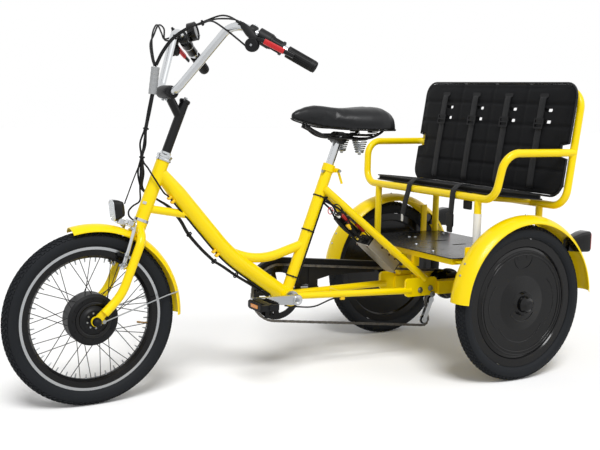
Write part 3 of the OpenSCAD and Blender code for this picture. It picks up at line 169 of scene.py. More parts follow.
def rounded_outline(width: float, height: float, radius: float, steps: int = 5) -> list[Pair]:
    """Draws a rectangle with round corners about its middle.

    Args:
        width: Size along the first axis, in mm.
        height: Size along the second axis, in mm.
        radius: Radius of the corners, in mm.
        steps: Pieces in each corner.

    Returns:
        The outline's points.
    """
    points = []
    for turn, (sx, sy) in enumerate(((1, 1), (-1, 1), (-1, -1), (1, -1))):
        for step in range(steps + 1):
            angle = math.radians(90 * (turn + step / steps))
            points.append((sx * (width / 2 - radius) + radius * math.cos(angle),
                           sy * (height / 2 - radius) + radius * math.sin(angle)))
    return points


def linear(colour: str) -> tuple[float, float, float, float]:
    """Turns an sRGB hex value into the linear colour that the shaders take."""
    parts = [int(colour[i:i + 2], 16) / 255 for i in (1, 3, 5)]
    return (*(c / 12.92 if c <= 0.04045 else ((c + 0.055) / 1.055) ** 2.4 for c in parts), 1.0)


def add_node(tree: bpy.types.NodeTree, kind: str, settings: Optional[dict] = None,
             links: Optional[dict] = None) -> bpy.types.Node:
    """Adds one node with its settings and links.

    Args:
        tree: The tree that takes the node.
        kind: The node's type.
        settings: Values of its properties and of its inputs, by name or number.
        links: Output sockets that feed its inputs, by name or number.

    Returns:
        The node.
    """
    node = tree.nodes.new(kind)
    for key, value in (settings or {}).items():
        if isinstance(key, str) and hasattr(node, key):
            setattr(node, key, value)
    for key, value in (settings or {}).items():
        if not (isinstance(key, str) and hasattr(node, key)):
            node.inputs[key].default_value = value
    for key, socket in (links or {}).items():
        tree.links.new(socket, node.inputs[key])
    return node


def maths(tree: bpy.types.NodeTree, operation: str, first: bpy.types.NodeSocket,
          second: Union[bpy.types.NodeSocket, float] = 0.0) -> bpy.types.NodeSocket:
    """Adds a Math node.

    Args:
        tree: The tree that takes the node.
        operation: What the node works out.
        first: Socket that feeds its first input.
        second: Socket or number for its second input.

    Returns:
        The socket of its result.
    """
    node = add_node(tree, "ShaderNodeMath", {"operation": operation}, {0: first})
    if isinstance(second, bpy.types.NodeSocket):
        tree.links.new(second, node.inputs[1])
    else:
        node.inputs[1].default_value = second
    return node.outputs[0]


class Pattern(Enum):
    """Ways in which a surface was made, as they show to the eye."""

    SPRAYED = "even orange peel"
    MOULDED = "fine leathery grain"
    BRUSHED = "long fine scratches"
    WOVEN = "threads over and under"
    PRISMS = "small moulded pyramids"


@dataclass(frozen=True)
class Finish:
    """One material, from its name to its surface."""

    name: str
    colour: str
    roughness: float
    pattern: Pattern = Pattern.SPRAYED
    size_mm: float = 3.0
    depth_mm: float = 0.03
    second: str = ""
    patch_mm: float = 120.0
    spread: float = 0.06
    metallic: float = 0.0
    coat: float = 0.0
    sheen: float = 0.0
    clear: float = 0.0
    ior: float = 1.5

    def height(self, tree: bpy.types.NodeTree, place: bpy.types.NodeSocket) -> bpy.types.NodeSocket:
        """Adds the nodes of the pattern's relief.

        Args:
            tree: The material's tree.
            place: The socket with Object coordinates, in metres.

        Returns:
            The socket that gives the relief's height.
        """
        scale = 1000 / self.size_mm
        if self.pattern in (Pattern.SPRAYED, Pattern.MOULDED):
            kind = "ShaderNodeTexNoise" if self.pattern is Pattern.SPRAYED else "ShaderNodeTexVoronoi"
            out = "Fac" if self.pattern is Pattern.SPRAYED else "Distance"
            return add_node(tree, kind, {"Scale": scale}, {"Vector": place}).outputs[out]
        if self.pattern is Pattern.BRUSHED:
            stretch = 0.05
            turned = add_node(tree, "ShaderNodeMapping", {"Scale": (scale, scale * stretch, scale)},
                              {"Vector": place})
            return add_node(tree, "ShaderNodeTexNoise", {"Scale": 1.0, "Detail": 4.0},
                            {"Vector": turned.outputs[0]}).outputs["Fac"]
        split = add_node(tree, "ShaderNodeSeparateXYZ", {}, {0: place})
        turn = 2 * math.pi * scale
        slant = maths(tree, "ADD", split.outputs[0], split.outputs[2])
        wave = maths(tree, "SINE", maths(tree, "MULTIPLY", slant, turn))
        other = maths(tree, "SINE", maths(tree, "MULTIPLY", split.outputs[1], turn))
        joined = maths(tree, "MULTIPLY", wave, other)
        return maths(tree, "ABSOLUTE", joined) if self.pattern is Pattern.PRISMS else joined

    def material(self) -> bpy.types.Material:
        """Builds the material at its first use.

        Returns:
            The material.
        """
        found = bpy.data.materials.get(self.name)
        if found:
            return found
        material = bpy.data.materials.new(self.name)
        material.use_nodes = True
        tree = material.node_tree
        tree.nodes.clear()
        place = add_node(tree, "ShaderNodeTexCoord").outputs["Object"]
        patches = add_node(tree, "ShaderNodeTexNoise", {"Scale": 1000 / self.patch_mm, "Detail": 3.0},
                           {"Vector": place}).outputs["Fac"]
        relief = self.height(tree, place)
        tint = add_node(tree, "ShaderNodeMix", {"data_type": "RGBA"}, {"Factor": patches})
        tint.inputs[6].default_value = linear(self.colour)
        tint.inputs[7].default_value = linear(self.second or self.colour)
        wear = add_node(tree, "ShaderNodeMapRange", {"To Min": max(self.roughness - self.spread, 0.02),
                                                     "To Max": min(self.roughness + self.spread, 1.0)},
                        {"Value": patches})
        bump = add_node(tree, "ShaderNodeBump", {"Strength": 1.0, "Distance": self.depth_mm / 1000},
                        {"Height": relief})
        shader = add_node(tree, "ShaderNodeBsdfPrincipled", {
            "Metallic": self.metallic, "Coat Weight": self.coat, "Coat Roughness": 0.06,
            "Sheen Weight": self.sheen, "Sheen Roughness": 0.5, "Transmission Weight": self.clear,
            "IOR": self.ior,
        }, {"Base Color": tint.outputs[2], "Roughness": wear.outputs[0], "Normal": bump.outputs[0]})
        add_node(tree, "ShaderNodeOutputMaterial", {}, {"Surface": shader.outputs[0]})
        return material


# Gloss enamel sprayed on steel: clear yellow, a slightly deeper yellow in broad random patches, a coat that
# mirrors the room
YELLOW_ENAMEL = Finish("sprayed_yellow_enamel", "#FFE400", 0.30, second="#FFDA00", size_mm=4, depth_mm=0.02,
                       coat=0.12, spread=0.05, ior=1.33)
# Black stove enamel: deep and glossy, with a slight orange peel
BLACK_ENAMEL = Finish("black_stove_enamel", "#08080A", 0.26, second="#0C0C0E", size_mm=4, coat=0.1, ior=1.34)
# Gloss ABS of the wheel covers and lamp bodies: almost a mirror, with shallow waves of the mould
GLOSS_ABS = Finish("gloss_black_abs", "#070708", 0.18, second="#0B0B0C", size_mm=26, depth_mm=0.05,
                   coat=0.1, ior=1.36)
# Moulded black nylon: matt, with a leathery grain drawn coarser than real to show
BLACK_NYLON = Finish("moulded_black_nylon", "#0C0C0E", 0.48, Pattern.MOULDED, 2.2, 0.05, second="#121315",
                     ior=1.32)
# Chrome plate: a clean mirror with faint cloudy patches
CHROME = Finish("chrome_plate", "#D8DADC", 0.12, Pattern.BRUSHED, 1.2, 0.004, second="#C6C9CC", metallic=1.0,
                spread=0.05)
# Polished aluminium: bright, with long fine lines of the brush
ALUMINIUM = Finish("polished_aluminium", "#C9CBCD", 0.28, Pattern.BRUSHED, 1.0, 0.01, second="#B4B7BA",
                   metallic=1.0)
# Cast aluminium of the controller: dull and warm grey, with a sandy skin
CAST_ALUMINIUM = Finish("cast_aluminium", "#B5B0A6", 0.48, size_mm=1.6, depth_mm=0.05, second="#A39E94",
                        metallic=0.85)
# Zinc-plated steel of bolts and wire: light grey, a little cloudy
ZINC_STEEL = Finish("zinc_plated_steel", "#B3B6B8", 0.32, Pattern.BRUSHED, 1.0, 0.01, second="#94979A",
                    metallic=1.0)
# Oiled chain steel: dark, with brown shadows of old oil
CHAIN_STEEL = Finish("oiled_chain_steel", "#8E8A84", 0.40, size_mm=2, depth_mm=0.03, second="#3A3734",
                     patch_mm=10, metallic=0.8)
# Vulcanised rubber of the tyres: dark blue-grey, dusted lighter in patches
TYRE_RUBBER = Finish("vulcanised_tyre_rubber", "#15171A", 0.70, Pattern.MOULDED, 1.6, 0.06,
                     second="#1C1F23", ior=1.3)
# Soft rubber of grips and cable skins: black, half matt
SOFT_RUBBER = Finish("soft_black_rubber", "#0A0A0B", 0.50, Pattern.MOULDED, 1.4, 0.03, second="#101112",
                     ior=1.32)
# Woven polyester of the cushions: threads of 1 mm drawn at 3 mm, with a little sheen
WOVEN_CLOTH = Finish("woven_black_polyester", "#0C0D0F", 0.86, Pattern.WOVEN, 3.2, 0.25, second="#121316",
                     sheen=0.04, ior=1.25)
# Nylon webbing: a tighter weave, smoother and a little blacker than the cloth
WEBBING = Finish("black_nylon_webbing", "#0D0E10", 0.60, Pattern.WOVEN, 2.2, 0.2, second="#141518",
                 sheen=0.06, ior=1.32)
# Sewn vinyl of the saddle and of the pads' binding: a soft shine over a fine leather grain
VINYL = Finish("black_grained_vinyl", "#0A0B0D", 0.36, Pattern.MOULDED, 2.4, 0.05, second="#101215",
               spread=0.08, ior=1.36)
# Red acrylic of the rear lenses: clear colour over rows of small prisms
RED_ACRYLIC = Finish("red_prism_acrylic", "#C8141A", 0.16, Pattern.PRISMS, 9, 0.5, second="#D92A26",
                     clear=0.25, ior=1.49, coat=0.4)
# Amber acrylic of the pedal reflectors
AMBER_ACRYLIC = Finish("amber_prism_acrylic", "#E8840C", 0.2, Pattern.PRISMS, 5, 0.4, second="#F09A20",
                       coat=0.4)
# Clear acrylic of the headlamp, over its silvered bowl
CLEAR_ACRYLIC = Finish("silvered_lamp_acrylic", "#D5DADF", 0.14, Pattern.PRISMS, 8, 0.5, second="#B9C0C7",
                       metallic=0.6, coat=0.5)
# Red silicone sleeve of a brake lever
RED_SILICONE = Finish("red_silicone_sleeve", "#D3161C", 0.42, Pattern.MOULDED, 1.8, 0.03, second="#B81218")
# White reflective tape: pale with a fine bead texture
WHITE_TAPE = Finish("white_reflective_tape", "#F8F8F6", 0.45, Pattern.PRISMS, 3, 0.03, second="#F0F0EE")
# Grey woven sleeve over the cables at the handlebar
GREY_SLEEVE = Finish("grey_braided_sleeve", "#A9ABAC", 0.5, Pattern.WOVEN, 2.4, 0.15, second="#8C8E90")
# Yellow nylon of the cable guides and plug shells: brighter and duller than the enamel
YELLOW_NYLON = Finish("yellow_nylon", "#F7CB00", 0.45, Pattern.MOULDED, 1.6, 0.03, second="#EFC000")
# Red nylon of the plugs
RED_NYLON = Finish("red_nylon", "#A8160F", 0.44, Pattern.MOULDED, 1.6, 0.03, second="#8E120C")
# White nylon of the plugs and strap ends
WHITE_NYLON = Finish("white_nylon", "#E6E5DF", 0.46, Pattern.MOULDED, 1.6, 0.03, second="#D6D5CF")
# Black-brown screws of the controller, filmed with old oil
BROWN_STEEL = Finish("browned_steel", "#6B4A2C", 0.42, Pattern.BRUSHED, 0.8, 0.01, second="#54391F",
                     metallic=0.9)
# Dark glass of the display, flush in its rim
DISPLAY_GLASS = Finish("dark_display_glass", "#101820", 0.10, size_mm=30, depth_mm=0.02, second="#16222C",
                       coat=0.6)
# Brass of the tyre valve
BRASS = Finish("dull_brass", "#B08D57", 0.38, Pattern.BRUSHED, 0.8, 0.01, second="#94754A", metallic=1.0)

NODE_FINISHES = {
    YELLOW_ENAMEL: ("main_frame", "rear_stays", "axle_carrier", "bed_frame", "bench_frame",
                    "fender_rear_left", "fender_rear_right", "seat_collar", "fork", "front_fender"),
    BLACK_ENAMEL: ("saddle_frame", "bed_plate", "rear_drive", "stem", "rim_front", "spokes_front",
                   "chainring"),
    GLOSS_ABS: ("rear_lamps", "display", "headlamp", "disc_rear_left", "disc_rear_right"),
    BLACK_NYLON: ("lap_buckles", "hub_motor", "chain_guard", "brake_levers", "twist_shifter", "pedal_left",
                  "pedal_right"),
    CHROME: ("headset_cups", "seat_post", "headset_locknut", "handlebar"),
    ALUMINIUM: ("bottom_bracket_cups", "derailleur", "front_brake", "crank_arms"),
    CAST_ALUMINIUM: ("controller",),
    ZINC_STEEL: ("front_axle", "fender_stays", "shaft_rear_left", "shaft_rear_right"),
    CHAIN_STEEL: ("chain",),
    TYRE_RUBBER: ("tyre_front", "tyre_rear_left", "tyre_rear_right"),
    SOFT_RUBBER: ("frame_cables", "grips", "bar_cables"),
    WOVEN_CLOTH: ("seat_pad", "back_pad", "wiring_pouch"),
    WEBBING: ("harness",),
    VINYL: ("saddle",),
    RED_ACRYLIC: ("rear_lenses",),
}


def dress_solids() -> None:
    """Gives every solid its finish."""
    for finish, nodes in NODE_FINISHES.items():
        for node in nodes:
            solid = frame["nodes"][node]
            if not solid.material_slots:
                solid.data.materials.append(None)
            for place in solid.material_slots:
                place.material = finish.material()
    missing = set(frame["nodes"]) - {node for nodes in NODE_FINISHES.values() for node in nodes}
    LOG.info("solids dressed, without a finish: %s", sorted(missing) or "none")


class Shape:
    """A mesh that grows by tubes, turned forms, lofts and blocks, in metres and the row frame."""

    def __init__(self) -> None:
        """Starts with no points and no faces."""
        self.points: list[Vector] = []
        self.faces: list[tuple[int, ...]] = []

    def loft(self, rings: Sequence[Sequence[Vector]], loop: bool = False) -> "Shape":
        """Skins rings of points, with its ends closed.

        Args:
            rings: Closed rings with the same number of points.
            loop: Whether the last ring joins the first.

        Returns:
            The shape itself.
        """
        rows = []
        for ring in rings:
            rows.append(list(range(len(self.points), len(self.points) + len(ring))))
            self.points.extend(ring)
        pairs = list(zip(rows, rows[1:])) + ([(rows[-1], rows[0])] if loop else [])
        for a, b in pairs:
            for i in range(len(a)):
                j = (i + 1) % len(a)
                self.faces.append((a[i], a[j], b[j], b[i]))
        if not loop:
            self.faces.append(tuple(reversed(rows[0])))
            self.faces.append(tuple(rows[-1]))
        return self

    def tube(self, path: Sequence[Vector], radius: Union[float, Sequence[float]], sides: int = 10,
             loop: bool = False) -> "Shape":
        """Sweeps a circle along a path.

        Args:
            path: The middle line.
            radius: One radius in mm, or one for each point.
            sides: Sides of the circle.
            loop: Whether the path closes on itself.

        Returns:
            The shape itself.
        """
        rings, side, last = [], None, len(path) - 1
        for i, point in enumerate(path):
            before = path[i - 1] if loop or i else path[0]
            after = path[(i + 1) % len(path)] if loop or i < last else path[last]
            ahead = (after - before).normalized()
            side = ahead.orthogonal() if side is None else side - ahead * side.dot(ahead)
            side.normalize()
            over = ahead.cross(side)
            size = (radius if isinstance(radius, (int, float)) else radius[i]) / 1000
            rings.append([point + (side * u + over * v) * size for u, v in circle(sides)])
        return self.loft(rings, loop)

    def strap(self, path: Sequence[Vector], width: float, thick: float, across: Vector) -> "Shape":
        """Sweeps a flat strap along a path.

        Args:
            path: The middle line.
            width: Width of the strap, in mm.
            thick: Thickness of the strap, in mm.
            across: Direction of its width.

        Returns:
            The shape itself.
        """
        outline = rounded_outline(width, thick, thick * 0.45, 2)
        rings = []
        for i, point in enumerate(path):
            ahead = (path[min(i + 1, len(path) - 1)] - path[max(i - 1, 0)]).normalized()
            side = (across - ahead * across.dot(ahead)).normalized()
            over = ahead.cross(side)
            rings.append([point + (side * u + over * v) / 1000 for u, v in outline])
        return self.loft(rings)

    def turned(self, profile: Sequence[Pair], place: Vector, axis: Vector, steps: int = 40,
               loop: bool = False) -> "Shape":
        """Turns a profile about an axis.

        Args:
            profile: Pairs of the distance along the axis and the radius, in mm.
            place: Start of the axis.
            axis: Direction of the axis.
            steps: Sides of the turned form.
            loop: Whether the profile closes on itself.

        Returns:
            The shape itself.
        """
        seat = seat_at(place, axis, axis.orthogonal())
        rings = []
        for along, radius in profile:
            size = max(radius, TIP_R)
            rings.append(section(seat, [(size * u, size * v) for u, v in circle(steps)], along))
        return self.loft(rings, loop)

    def turned_both(self, profile: Sequence[Pair], place: Vector, steps: int,
                    loop: bool = False) -> "Shape":
        """Turns a profile to the left and to the right of a place.

        Args:
            profile: Pairs of the distance from the place and the radius, in mm.
            place: Middle between the two forms.
            steps: Sides of each turned form.
            loop: Whether the profile closes on itself.

        Returns:
            The shape itself.
        """
        for side in (-1, 1):
            self.turned(profile, place, SIDEWAYS * side, steps, loop)
        return self

    def plate(self, outline: Sequence[Pair], seat: Matrix, thick: float, edge: float = 0.6) -> "Shape":
        """Raises an outline to a plate with eased edges.

        Args:
            outline: Points in the seat's XY plane, in mm.
            seat: The plate's frame, its middle plane at Z 0.
            thick: Thickness, in mm.
            edge: Easing of the edges, in mm.

        Returns:
            The shape itself.
        """
        mid = (sum(p[0] for p in outline) / len(outline), sum(p[1] for p in outline) / len(outline))
        reach = max(math.hypot(p[0] - mid[0], p[1] - mid[1]) for p in outline)
        rings = []
        for z, inset in ((-thick / 2, edge), (edge - thick / 2, 0), (thick / 2 - edge, 0), (thick / 2, edge)):
            share = 1 - inset / reach
            eased = [(mid[0] + (u - mid[0]) * share, mid[1] + (v - mid[1]) * share) for u, v in outline]
            rings.append(section(seat, eased, z))
        return self.loft(rings)

    def block(self, seat: Matrix, size: Sequence[float], corner: float, edge: float = 1.5) -> "Shape":
        """Adds a block with round corners about its seat.

        Args:
            seat: The block's frame.
            size: Its sizes along X, Y and Z, in mm.
            corner: Radius of the corners about Z, in mm.
            edge: Easing of its two ends, in mm.

        Returns:
            The shape itself.
        """
        return self.plate(rounded_outline(size[0], size[1], corner), seat, size[2], edge)

    def tie(self, centre: Vector, axis: Vector, radius: float, toward: Vector, lump: float,
            width: float = 4.5) -> "Shape":
        """Straps a cable tie round a tube and the cable that lies on it.

        Args:
            centre: Middle of the tube.
            axis: Direction of the tube.
            radius: Radius of the tube, in mm.
            toward: Direction from the tube to the cable.
            lump: Radius of the cable, in mm.
            width: Width of the tie, in mm.

        Returns:
            The shape itself.
        """
        seat = seat_at(centre, axis, toward)
        inner, outer, half = 0.2, 1.6, width / 2
        rings = []
        for u, v in circle(36):
            way = Vector((u, v, 0))
            near, far = way * radius, Vector((radius + lump, 0, 0)) + way * lump
            edge = far if far.dot(way) > near.dot(way) else near
            rings.append([seat @ ((edge + way * out + Vector((0, 0, along))) / 1000)
                          for out, along in ((inner, -half), (outer, -half), (outer, half), (inner, half))])
        self.loft(rings, loop=True)
        return self.block(shifted(seat, y=-(radius + 3)), (5, 6, width + 2), 1)

    def mesh(self, name: str) -> bpy.types.Mesh:
        """Makes the points and faces a mesh whose faces all look outwards.

        Args:
            name: The mesh's name.

        Returns:
            The mesh.
        """
        mesh = bpy.data.meshes.new(name)
        mesh.from_pydata([tuple(p) for p in self.points], [], self.faces)
        work = bmesh.new()
        work.from_mesh(mesh)
        bmesh.ops.recalc_face_normals(work, faces=work.faces)
        work.to_mesh(mesh)
        work.free()
        return mesh

    def piece(self, name: str, finish: Finish, body: str, slot: str, nodes: Sequence[str] = (),
              sharp: float = 38.0) -> bpy.types.Object:
        """Makes the mesh an object that rides on a body.

        Args:
            name: The piece's name.
            finish: Its material.
            body: The body that it moves with.
            slot: The record's material slot; not used.
            nodes: Solids that it stands for.
            sharp: Angle past which an edge stays sharp, in degrees.

        Returns:
            The piece.
        """
        return settle(self.mesh(name), name, finish, body, nodes, sharp)


def settle(mesh: bpy.types.Mesh, name: str, finish: Finish, body: str, nodes: Sequence[str] = (),
           sharp: float = 38.0) -> bpy.types.Object:
    """Makes a finished mesh a piece of the tricycle.

    Args:
        mesh: The mesh, in the row frame.
        name: The piece's name.
        finish: Its material.
        body: The body that it moves with, or nothing for a piece that rides on no body.
        nodes: Solids that it stands for.
        sharp: Angle past which an edge stays sharp, in degrees.

    Returns:
        The piece.
    """
    mesh.materials.clear()
    mesh.materials.append(finish.material())
    mesh.shade_smooth()
    mesh.set_sharp_from_angle(angle=math.radians(sharp))
    piece = bpy.data.objects.new(name, mesh)
    bpy.context.scene.collection.objects.link(piece)
    if body:
        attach(piece, body)
    if nodes:
        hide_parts(*nodes)
    LOG.info("%s: %d faces on %s", name, len(mesh.polygons), body or "two bodies")
    return piece


def filled(shape: Shape, name: str, voxel: float, cap: float) -> bpy.types.Mesh:
    """Fills a cushion by cloth simulation.

    Args:
        shape: The closed form, a little smaller than the cushion.
        name: The cushion's name.
        voxel: Size of the mesh, in mm.
        cap: Most that a point may move, in mm.

    Returns:
        The filled mesh.
    """
    cushion = bpy.data.objects.new(name, shape.mesh(name))
    scene = bpy.context.scene
    scene.collection.objects.link(cushion)
    remesh = cushion.modifiers.new("even", "REMESH")
    remesh.mode = "VOXEL"
    remesh.voxel_size = voxel / 1000
    graph = bpy.context.evaluated_depsgraph_get()
    even = bpy.data.meshes.new_from_object(cushion.evaluated_get(graph), depsgraph=graph)
    cushion.modifiers.clear()
    cushion.data = even
    start = [(v.co.copy(), v.normal.copy()) for v in even.vertices]
    cloth = cushion.modifiers.new("fill", "CLOTH")
    cloth.settings.use_pressure = True
    cloth.settings.uniform_pressure_force = FILL_PRESSURE
    cloth.settings.effector_weights.gravity = 0.0
    cloth.settings.quality = 5
    cloth.point_cache.frame_start = 1
    cloth.point_cache.frame_end = FILL_FRAMES
    for step in range(1, FILL_FRAMES + 1):
        scene.frame_set(step)
    graph = bpy.context.evaluated_depsgraph_get()
    swollen = bpy.data.meshes.new_from_object(cushion.evaluated_get(graph), depsgraph=graph)
    for vertex, (before, normal) in zip(swollen.vertices, start):
        move = vertex.co - before
        inward = -move.dot(normal) * 1000
        if inward > FILL_SINK:
            move += normal * (inward - FILL_SINK) / 1000
        vertex.co = before + move * min(1.0, cap / 1000 / max(move.length, 1e-9))
    even = swollen
    scene.frame_set(1)
    bpy.data.objects.remove(cushion)
    return even


@dataclass(frozen=True)
class Spot:
    """Where one of a row of small forms stands."""

    place: Vector
    facing: Vector
    along: Vector


@dataclass(frozen=True)
class Scatter:
    """Geometry Nodes tree that stands one tapered form on each of many spots."""

    name: str
    sides: int
    top_share: float
    size_mm: Place

    def tree(self) -> bpy.types.NodeTree:
        """Builds the tree with named inputs for its sizes.

        Returns:
            The tree.
        """
        tree = bpy.data.node_groups.new(self.name, "GeometryNodeTree")
        for label, kind in (("Spots", "NodeSocketGeometry"), ("Sides", "NodeSocketInt"),
                            ("Top Share", "NodeSocketFloat"), ("Size", "NodeSocketVector"),
                            ("Finish", "NodeSocketMaterial")):
            tree.interface.new_socket(label, in_out="INPUT", socket_type=kind)
        tree.interface.new_socket("Forms", in_out="OUTPUT", socket_type="NodeSocketGeometry")
        given = add_node(tree, "NodeGroupInput").outputs
        facing = add_node(tree, "GeometryNodeInputNamedAttribute",
                          {"data_type": "FLOAT_VECTOR", "Name": "facing"})
        along = add_node(tree, "GeometryNodeInputNamedAttribute",
                         {"data_type": "FLOAT_VECTOR", "Name": "along"})
        upright = add_node(tree, "FunctionNodeAlignRotationToVector", {"axis": "Z"},
                           {"Vector": facing.outputs[0]})
        ready = add_node(tree, "FunctionNodeAlignRotationToVector", {"axis": "X", "pivot_axis": "Z"},
                         {"Rotation": upright.outputs[0], "Vector": along.outputs[0]})
        form = add_node(tree, "GeometryNodeMeshCone", {"Radius Bottom": 1.0, "Depth": 1.0},
                        {"Vertices": given["Sides"], "Radius Top": given["Top Share"]})
        square = add_node(tree, "GeometryNodeTransform", {"Rotation": (0, 0, math.pi / self.sides)},
                          {"Geometry": form.outputs["Mesh"]})
        stood = add_node(tree, "GeometryNodeInstanceOnPoints", {}, {
            "Points": given["Spots"], "Instance": square.outputs[0], "Rotation": ready.outputs[0],
            "Scale": given["Size"]})
        real = add_node(tree, "GeometryNodeRealizeInstances", {}, {0: stood.outputs[0]})
        dressed = add_node(tree, "GeometryNodeSetMaterial", {}, {"Geometry": real.outputs[0],
                                                                 "Material": given["Finish"]})
        add_node(tree, "NodeGroupOutput", {}, {0: dressed.outputs[0]})
        return tree

    def piece(self, spots: Sequence[Spot], finish: Finish, body: str, slot: str) -> bpy.types.Object:
        """Stands the form on every spot and makes the result one plain mesh.

        Args:
            spots: Where the forms stand.
            finish: Their material.
            body: The body that they move with.
            slot: The record's material slot; not used.

        Returns:
            The piece.
        """
        mesh = bpy.data.meshes.new(self.name + "_spots")
        mesh.from_pydata([tuple(s.place) for s in spots], [], [])
        for label in ("facing", "along"):
            held = mesh.attributes.new(label, "FLOAT_VECTOR", "POINT")
            held.data.foreach_set("vector", [c for s in spots for c in getattr(s, label)])
        carrier = bpy.data.objects.new(self.name + "_spots", mesh)
        bpy.context.scene.collection.objects.link(carrier)
        modifier = carrier.modifiers.new("stand", "NODES")
        tree = self.tree()
        modifier.node_group = tree
        half = math.sqrt(2) / 2 if self.sides == 4 else 0.5
        values = {"Sides": self.sides, "Top Share": self.top_share, "Finish": finish.material(),
                  "Size": (self.size_mm[0] * half / 1000, self.size_mm[1] * half / 1000,
                           self.size_mm[2] / 1000)}
        for socket in tree.interface.items_tree:
            if socket.name in values:
                modifier[socket.identifier] = values[socket.name]
        graph = bpy.context.evaluated_depsgraph_get()
        made = bpy.data.meshes.new_from_object(carrier.evaluated_get(graph), depsgraph=graph)
        made.name = self.name
        bpy.data.objects.remove(carrier)
        return settle(made, self.name, finish, body)


def heads(name: str, spots: Sequence[Spot], wide: float, high: float, body: str, sides: int = 6,
          taper: float = 0.9, finish: Finish = ZINC_STEEL, slot: str = "steel") -> None:
    """Stands the heads of bolts, screws or nuts on spots.

    Args:
        name: The piece's name.
        spots: Where the heads stand.
        wide: Width of a head, in mm.
        high: Height of a head, in mm.
        body: The body that they move with.
        sides: Sides of a head.
        taper: Share of the width that is left at the top.
        finish: Their material.
        slot: The record's material slot; not used.
    """
    Scatter(name, sides, taper, (wide, wide, high)).piece(spots, finish, body, slot)


def ring_spots(centre: Vector, axis: Vector, radius: float, out: float, count: int,
               start: float = 0.0) -> list[Spot]:
    """Spreads spots on a circle, all facing along its axis.

    Args:
        centre: Middle of the circle.
        axis: Direction that the spots face.
        radius: Radius of the circle, in mm.
        out: Distance of the circle along the axis, in mm.
        count: Number of spots.
        start: Angle of the first one, in degrees.

    Returns:
        The spots.
    """
    seat = seat_at(centre, axis, UPWARDS)
    spots = []
    for i in range(count):
        angle = math.radians(start + 360 * i / count)
        arm = seat.to_3x3() @ Vector((math.cos(angle), math.sin(angle), 0))
        spots.append(Spot(centre + (arm * radius + axis * out) / 1000, axis, arm))
    return spots


@dataclass
class Studio:
    """Camera, floor and light."""

    eye: Place = (-1.6152, -2.726, 0.906)
    azimuth: float = -30.99
    elevation: float = 7.42
    roll: float = 1.24
    lens_mm: float = 60.04
    floor_m: float = 40.0
    sun: float = 2.0
    fill_share: float = 0.22
    sky: float = 0.45

    def place_camera(self) -> None:
        """Puts the camera where the photograph was taken."""
        turn, tilt, roll = (math.radians(a) for a in (self.azimuth, self.elevation, self.roll))
        back = Vector((math.sin(turn) * math.cos(tilt), -math.cos(turn) * math.cos(tilt), math.sin(tilt)))
        right = (-back).cross(UPWARDS).normalized()
        up = back.cross(right)
        x = right * math.cos(roll) + up * math.sin(roll)
        y = up * math.cos(roll) - right * math.sin(roll)
        data = bpy.data.cameras.new("camera")
        data.lens = self.lens_mm
        data.sensor_width = 36.0
        data.sensor_fit = "HORIZONTAL"
        camera = bpy.data.objects.new("camera", data)
        bpy.context.scene.collection.objects.link(camera)
        pose = Matrix((x, y, back)).transposed().to_4x4()
        pose.translation = Vector(self.eye)
        camera.matrix_world = pose
        bpy.context.scene.camera = camera

    def lay_floor(self) -> None:
        """Lays a plain pale floor."""
        half = self.floor_m / 2
        mesh = bpy.data.meshes.new("floor")
        mesh.from_pydata([(-half, -half, 0), (half, -half, 0), (half, half, 0), (-half, half, 0)], [],
                         [(0, 1, 2, 3)])
        material = bpy.data.materials.new("pale_studio_floor")
        material.use_nodes = True
        tree = material.node_tree
        tree.nodes.clear()
        shader = add_node(tree, "ShaderNodeBsdfDiffuse", {"Color": linear("#F8F8F8"), "Roughness": 0.6})
        add_node(tree, "ShaderNodeOutputMaterial", {}, {"Surface": shader.outputs[0]})
        mesh.materials.append(material)
        floor = bpy.data.objects.new("floor", mesh)
        bpy.context.scene.collection.objects.link(floor)

    def light(self) -> None:
        """Lights the tricycle softly, under a sky that the camera and the gloss see as white."""
        world = bpy.data.worlds.new("studio")
        bpy.context.scene.world = world
        world.use_nodes = True
        tree = world.node_tree
        tree.nodes.clear()
        rays = add_node(tree, "ShaderNodeLightPath").outputs
        seen = maths(tree, "MAXIMUM", rays["Is Camera Ray"], rays["Is Transmission Ray"])
        mirrored = maths(tree, "MAXIMUM", seen, rays["Is Glossy Ray"])
        strength = add_node(tree, "ShaderNodeMapRange", {"To Min": self.sky, "To Max": 1.0},
                            {"Value": mirrored})
        sky = add_node(tree, "ShaderNodeBackground", {"Color": linear("#FFFFFF")},
                       {"Strength": strength.outputs[0]})
        add_node(tree, "ShaderNodeOutputWorld", {}, {"Surface": sky.outputs[0]})
        for name, power, spread, aim in (("key", self.sun, 24.0, (0.25, 0.55, -0.8)),
                                         ("fill", self.sun * self.fill_share, 60.0, (-0.6, 0.55, -0.55))):
            data = bpy.data.lights.new(name, "SUN")
            data.energy = power
            data.angle = math.radians(spread)
            lamp = bpy.data.objects.new(name, data)
            lamp.rotation_euler = Vector(aim).to_track_quat("-Z", "Y").to_euler()
            bpy.context.scene.collection.objects.link(lamp)
        bpy.context.scene.view_settings.view_transform = "Standard"

    def build(self) -> None:
        """Sets up the whole studio."""
        self.place_camera()
        self.lay_floor()
        self.light()
        LOG.info("studio set")


